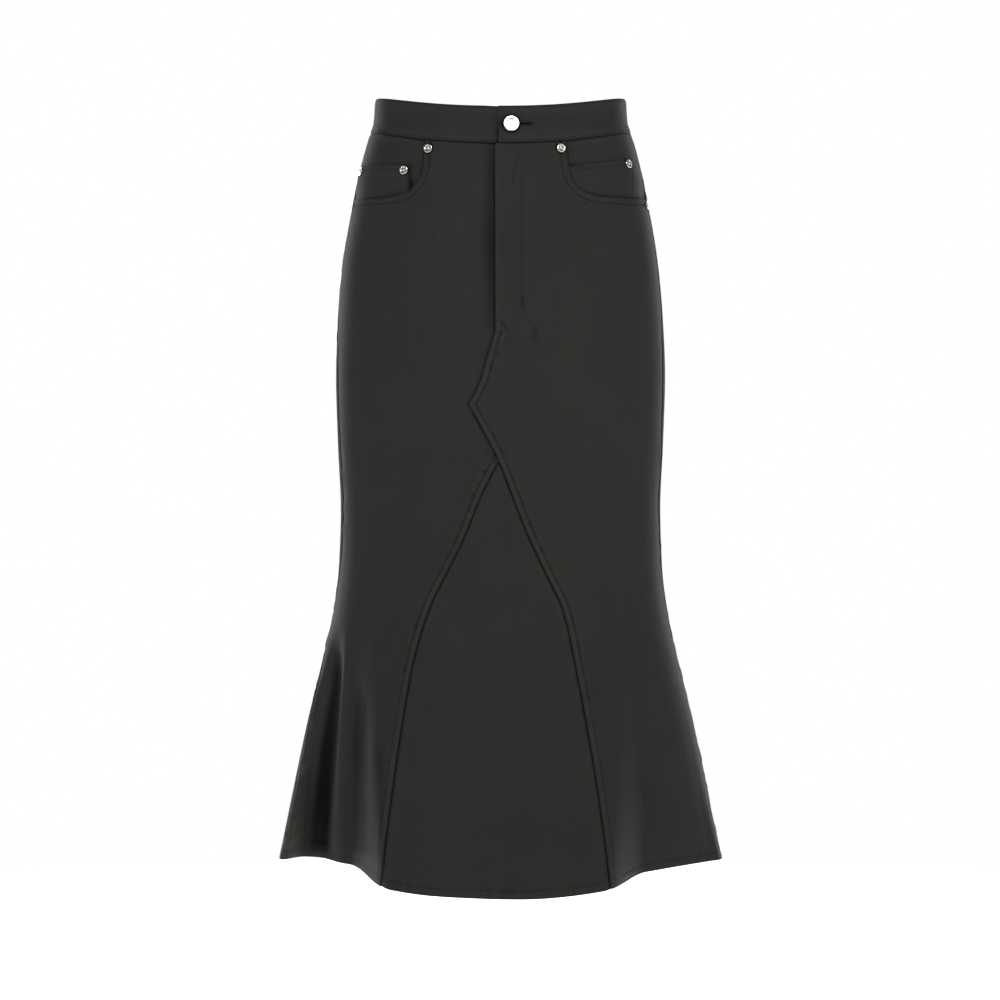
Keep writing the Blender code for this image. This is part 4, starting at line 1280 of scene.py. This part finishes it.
# ---------------- metal trims
def turned(name, profile, segments, dull=()):
    """A turned trim. profile is (radius, height) rows from underneath to the top's centre, with both ends on
    the axis. The rings named in dull are in the recess."""
    points, faces, slots = [(0.0, 0.0, profile[0][1])], [], []
    turn = np.arange(segments) * math.tau / segments
    rings = profile[1:-1]
    for radius, height in rings:
        points += list(zip(radius * np.cos(turn), radius * np.sin(turn), np.full(segments, height)))
    points.append((0.0, 0.0, profile[-1][1]))
    last = (len(rings) - 1) * segments
    for k in range(segments):
        a, b = 1 + k, 1 + (k + 1) % segments
        steps = range(0, last, segments)
        faces += [(0, b, a), *((a + r, b + r, b + r + segments, a + r + segments) for r in steps)]
        faces.append((a + last, b + last, len(points) - 1))
        slots += [0, *(int(r // segments in dull) for r in steps), 0]
    return new_mesh(name, points, faces, None, None, slots, (NICKEL, DULL_NICKEL), 38)


def seat(obj, node, x, z, height):
    """Stands a trim on the cloth, in place of a node's."""
    angle, step = float(angle_at(x, z)), 0.6 * MM
    steps = ((step, 0), (-step, 0), (0, step), (0, -step))
    places = [moved(np.array([angle]), np.array([z]), *off) for off in steps]
    spots = [(body(a, h) + outward(a, h) * height(a, h)[..., None])[0] for a, h in places]
    normal = unit(np.cross(spots[0] - spots[1], spots[2] - spots[3]))
    raised = height(np.array([angle]), np.array([z]))[0]
    centre = Vector(body(angle, z) + outward(angle, z) * raised + normal * TRIM_GAP)
    turn = Vector(normal).to_track_quat("Z", "Y").to_matrix()
    for vertex in obj.data.vertices:
        vertex.co = turn @ vertex.co + centre
    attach(obj, "root")
    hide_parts(node)
    return obj


# Shares of the trim's radius.
RIVET_PROFILE = (
    (0, 0.00), (0.90, 0.00), (0.98, 0.03), (1.00, 0.09), (0.98, 0.16), (0.92, 0.22), (0.82, 0.255),
    (0.70, 0.25), (0.60, 0.20), (0.53, 0.13), (0.47, 0.10), (0.38, 0.10), (0.33, 0.13), (0.30, 0.20),
    (0.26, 0.27), (0.19, 0.32), (0.10, 0.345), (0, 0.35),
)
RIVET_RECESS = (8, 9, 10, 11)
BUTTON_PROFILE = (
    (1.00, 0.07), (0.995, 0.12), (0.97, 0.19), (0.92, 0.235), (0.86, 0.25), (0.80, 0.235), (0.76, 0.205),
    (0.72, 0.20), (0.60, 0.22), (0.40, 0.245), (0.20, 0.258), (0, 0.262),
)


def trims():
    profile = [(r * RIVET_RADIUS, h * RIVET_RADIUS) for r, h in RIVET_PROFILE]
    for spec in RIVETS:
        layer = coin_layer("left" if spec.x > 0 else "right") if spec.on == "coin" else flat_layer
        seat(turned("trim_" + spec.name, profile, 40, RIVET_RECESS), spec.name, spec.x, spec.z, layer)
    foot = TRIM_GAP - BAND_UNDER
    profile = [(0, foot), (SHANK_RADIUS, foot), (SHANK_RADIUS, 0.2 * MM), (0.55 * BUTTON_RADIUS, 0.4 * MM)]
    profile += [(r * BUTTON_RADIUS, h * BUTTON_RADIUS) for r, h in BUTTON_PROFILE]
    seat(turned("trim_waist_button", profile, 72), "waist_button", EYE_X, BAND_MIDDLE, band_layer)


# ---------------- studio
FRONT_GLOW, SIDE_GLOW = 0.05, 0.26  # the studio's walls: dim in front and behind, and bright to either side
CAMERA_FAR, VIEW_WIDTH, FILM = 3.2, 1.05, 36.0
CAMERA_X, CAMERA_Z = -0.0005, -0.400
FLOOR_Z, FLOOR_RADIUS, FLOOR_SIDES = -1.15, 3.2, 96
GLOW_FROM, GLOW_FULL = 1.25, 1.75  # how far out the floor starts to glow, and where it is white
LIGHTS = table(
    "name place aim size power",
    ("key", (0.3, -2.8, 1.3), (0, 0, -0.35), (1.0, 1.0), 50),
    ("left rim", (-1.6, 2.4, 0.0), (0, 0, -0.4), (0.8, 2.4), 62),
    ("right rim", (1.6, 2.4, 0.0), (0, 0, -0.4), (0.8, 2.4), 46),
    ("back fill", (-0.3, 2.8, 1.3), (0, 0, -0.35), (1.0, 1.0), 36),
)


def placed(name, data, place):
    obj = bpy.data.objects.new(name, data)
    obj.location = place
    bpy.context.scene.collection.objects.link(obj)
    return obj


def surroundings():
    """White to the camera, and dim to the cloth."""
    world = bpy.data.worlds.new("studio")
    bpy.context.scene.world = world
    n = Nodes(world, "Background")
    x = n.add("ShaderNodeSeparateXYZ", {0: n.coordinates("Generated")}).outputs["X"]
    glow = n.math("MULTIPLY_ADD", n.math("POWER", x, 2.0), SIDE_GLOW, FRONT_GLOW)
    seen = n.add("ShaderNodeLightPath", {}).outputs["Is Camera Ray"]
    n.fill(n.shader, {"Color": (1.0, 1.0, 1.0, 1.0), "Strength": n.math("MAXIMUM", glow, seen)})


def floor():
    """A pale floor that glows further out, so that its edge doesn't show."""
    material = bpy.data.materials.new("studio floor")
    n = Nodes(material)
    place = n.coordinates("Object")
    out = n.add("ShaderNodeVectorMath", {0: place}, operation="LENGTH").outputs["Value"]
    n.fill(n.shader, {
        "Base Color": n.tint((0.86, 0.86, 0.86), n.spread(n.noise(place, 3.0), 0.99, 1.01)),
        "Roughness": 0.9,
        "Emission Color": (1.0, 1.0, 1.0, 1.0),
        "Emission Strength": n.ramp(out, GLOW_FROM, GLOW_FULL, 0.15, 1.0),
    })
    turn = np.arange(FLOOR_SIDES) * math.tau / FLOOR_SIDES
    points = [(0.0, 0.0, 0.0)] + [(FLOOR_RADIUS * math.cos(t), FLOOR_RADIUS * math.sin(t), 0.0) for t in turn]
    faces = [(0, 1 + k, 1 + (k + 1) % FLOOR_SIDES) for k in range(FLOOR_SIDES)]
    obj = new_mesh("floor", points, faces, materials=(material,))
    obj.location.z = FLOOR_Z


def studio():
    surroundings()
    floor()
    for spec in LIGHTS:
        light = bpy.data.lights.new(spec.name, "AREA")
        light.shape, light.size, light.size_y, light.energy = "RECTANGLE", *spec.size, spec.power
        obj = placed(spec.name, light, spec.place)
        obj.rotation_mode = "QUATERNION"
        obj.rotation_quaternion = (Vector(spec.aim) - Vector(spec.place)).to_track_quat("-Z", "Y")
    camera = bpy.data.cameras.new("camera")
    camera.sensor_width, camera.lens, camera.clip_end = FILM, FILM * CAMERA_FAR / VIEW_WIDTH, 100
    obj = placed("camera", camera, (CAMERA_X, -CAMERA_FAR, CAMERA_Z))
    obj.rotation_euler = (math.pi / 2, 0, 0)
    bpy.context.scene.camera = obj
    bpy.context.scene.view_settings.view_transform = "Standard"


studio()
front_panel("right", underlap_edge, draped_right_layer, 36, 0.130, right_front_dark())
front_panel("left", overlap_edge, left_front_layer, 28, 0.134, left_front_dark())
gusset()
for wearer_side in ("right", "left"):
    back(wearer_side)
    facing(wearer_side)
for patch in COIN_POCKETS:
    coin(patch)
waistband()
seam_stitching()
hem_stitching()
for wearer_side in ("right", "left"):
    coin_stitching(wearer_side)
band_stitching()
buttonhole()
trims()
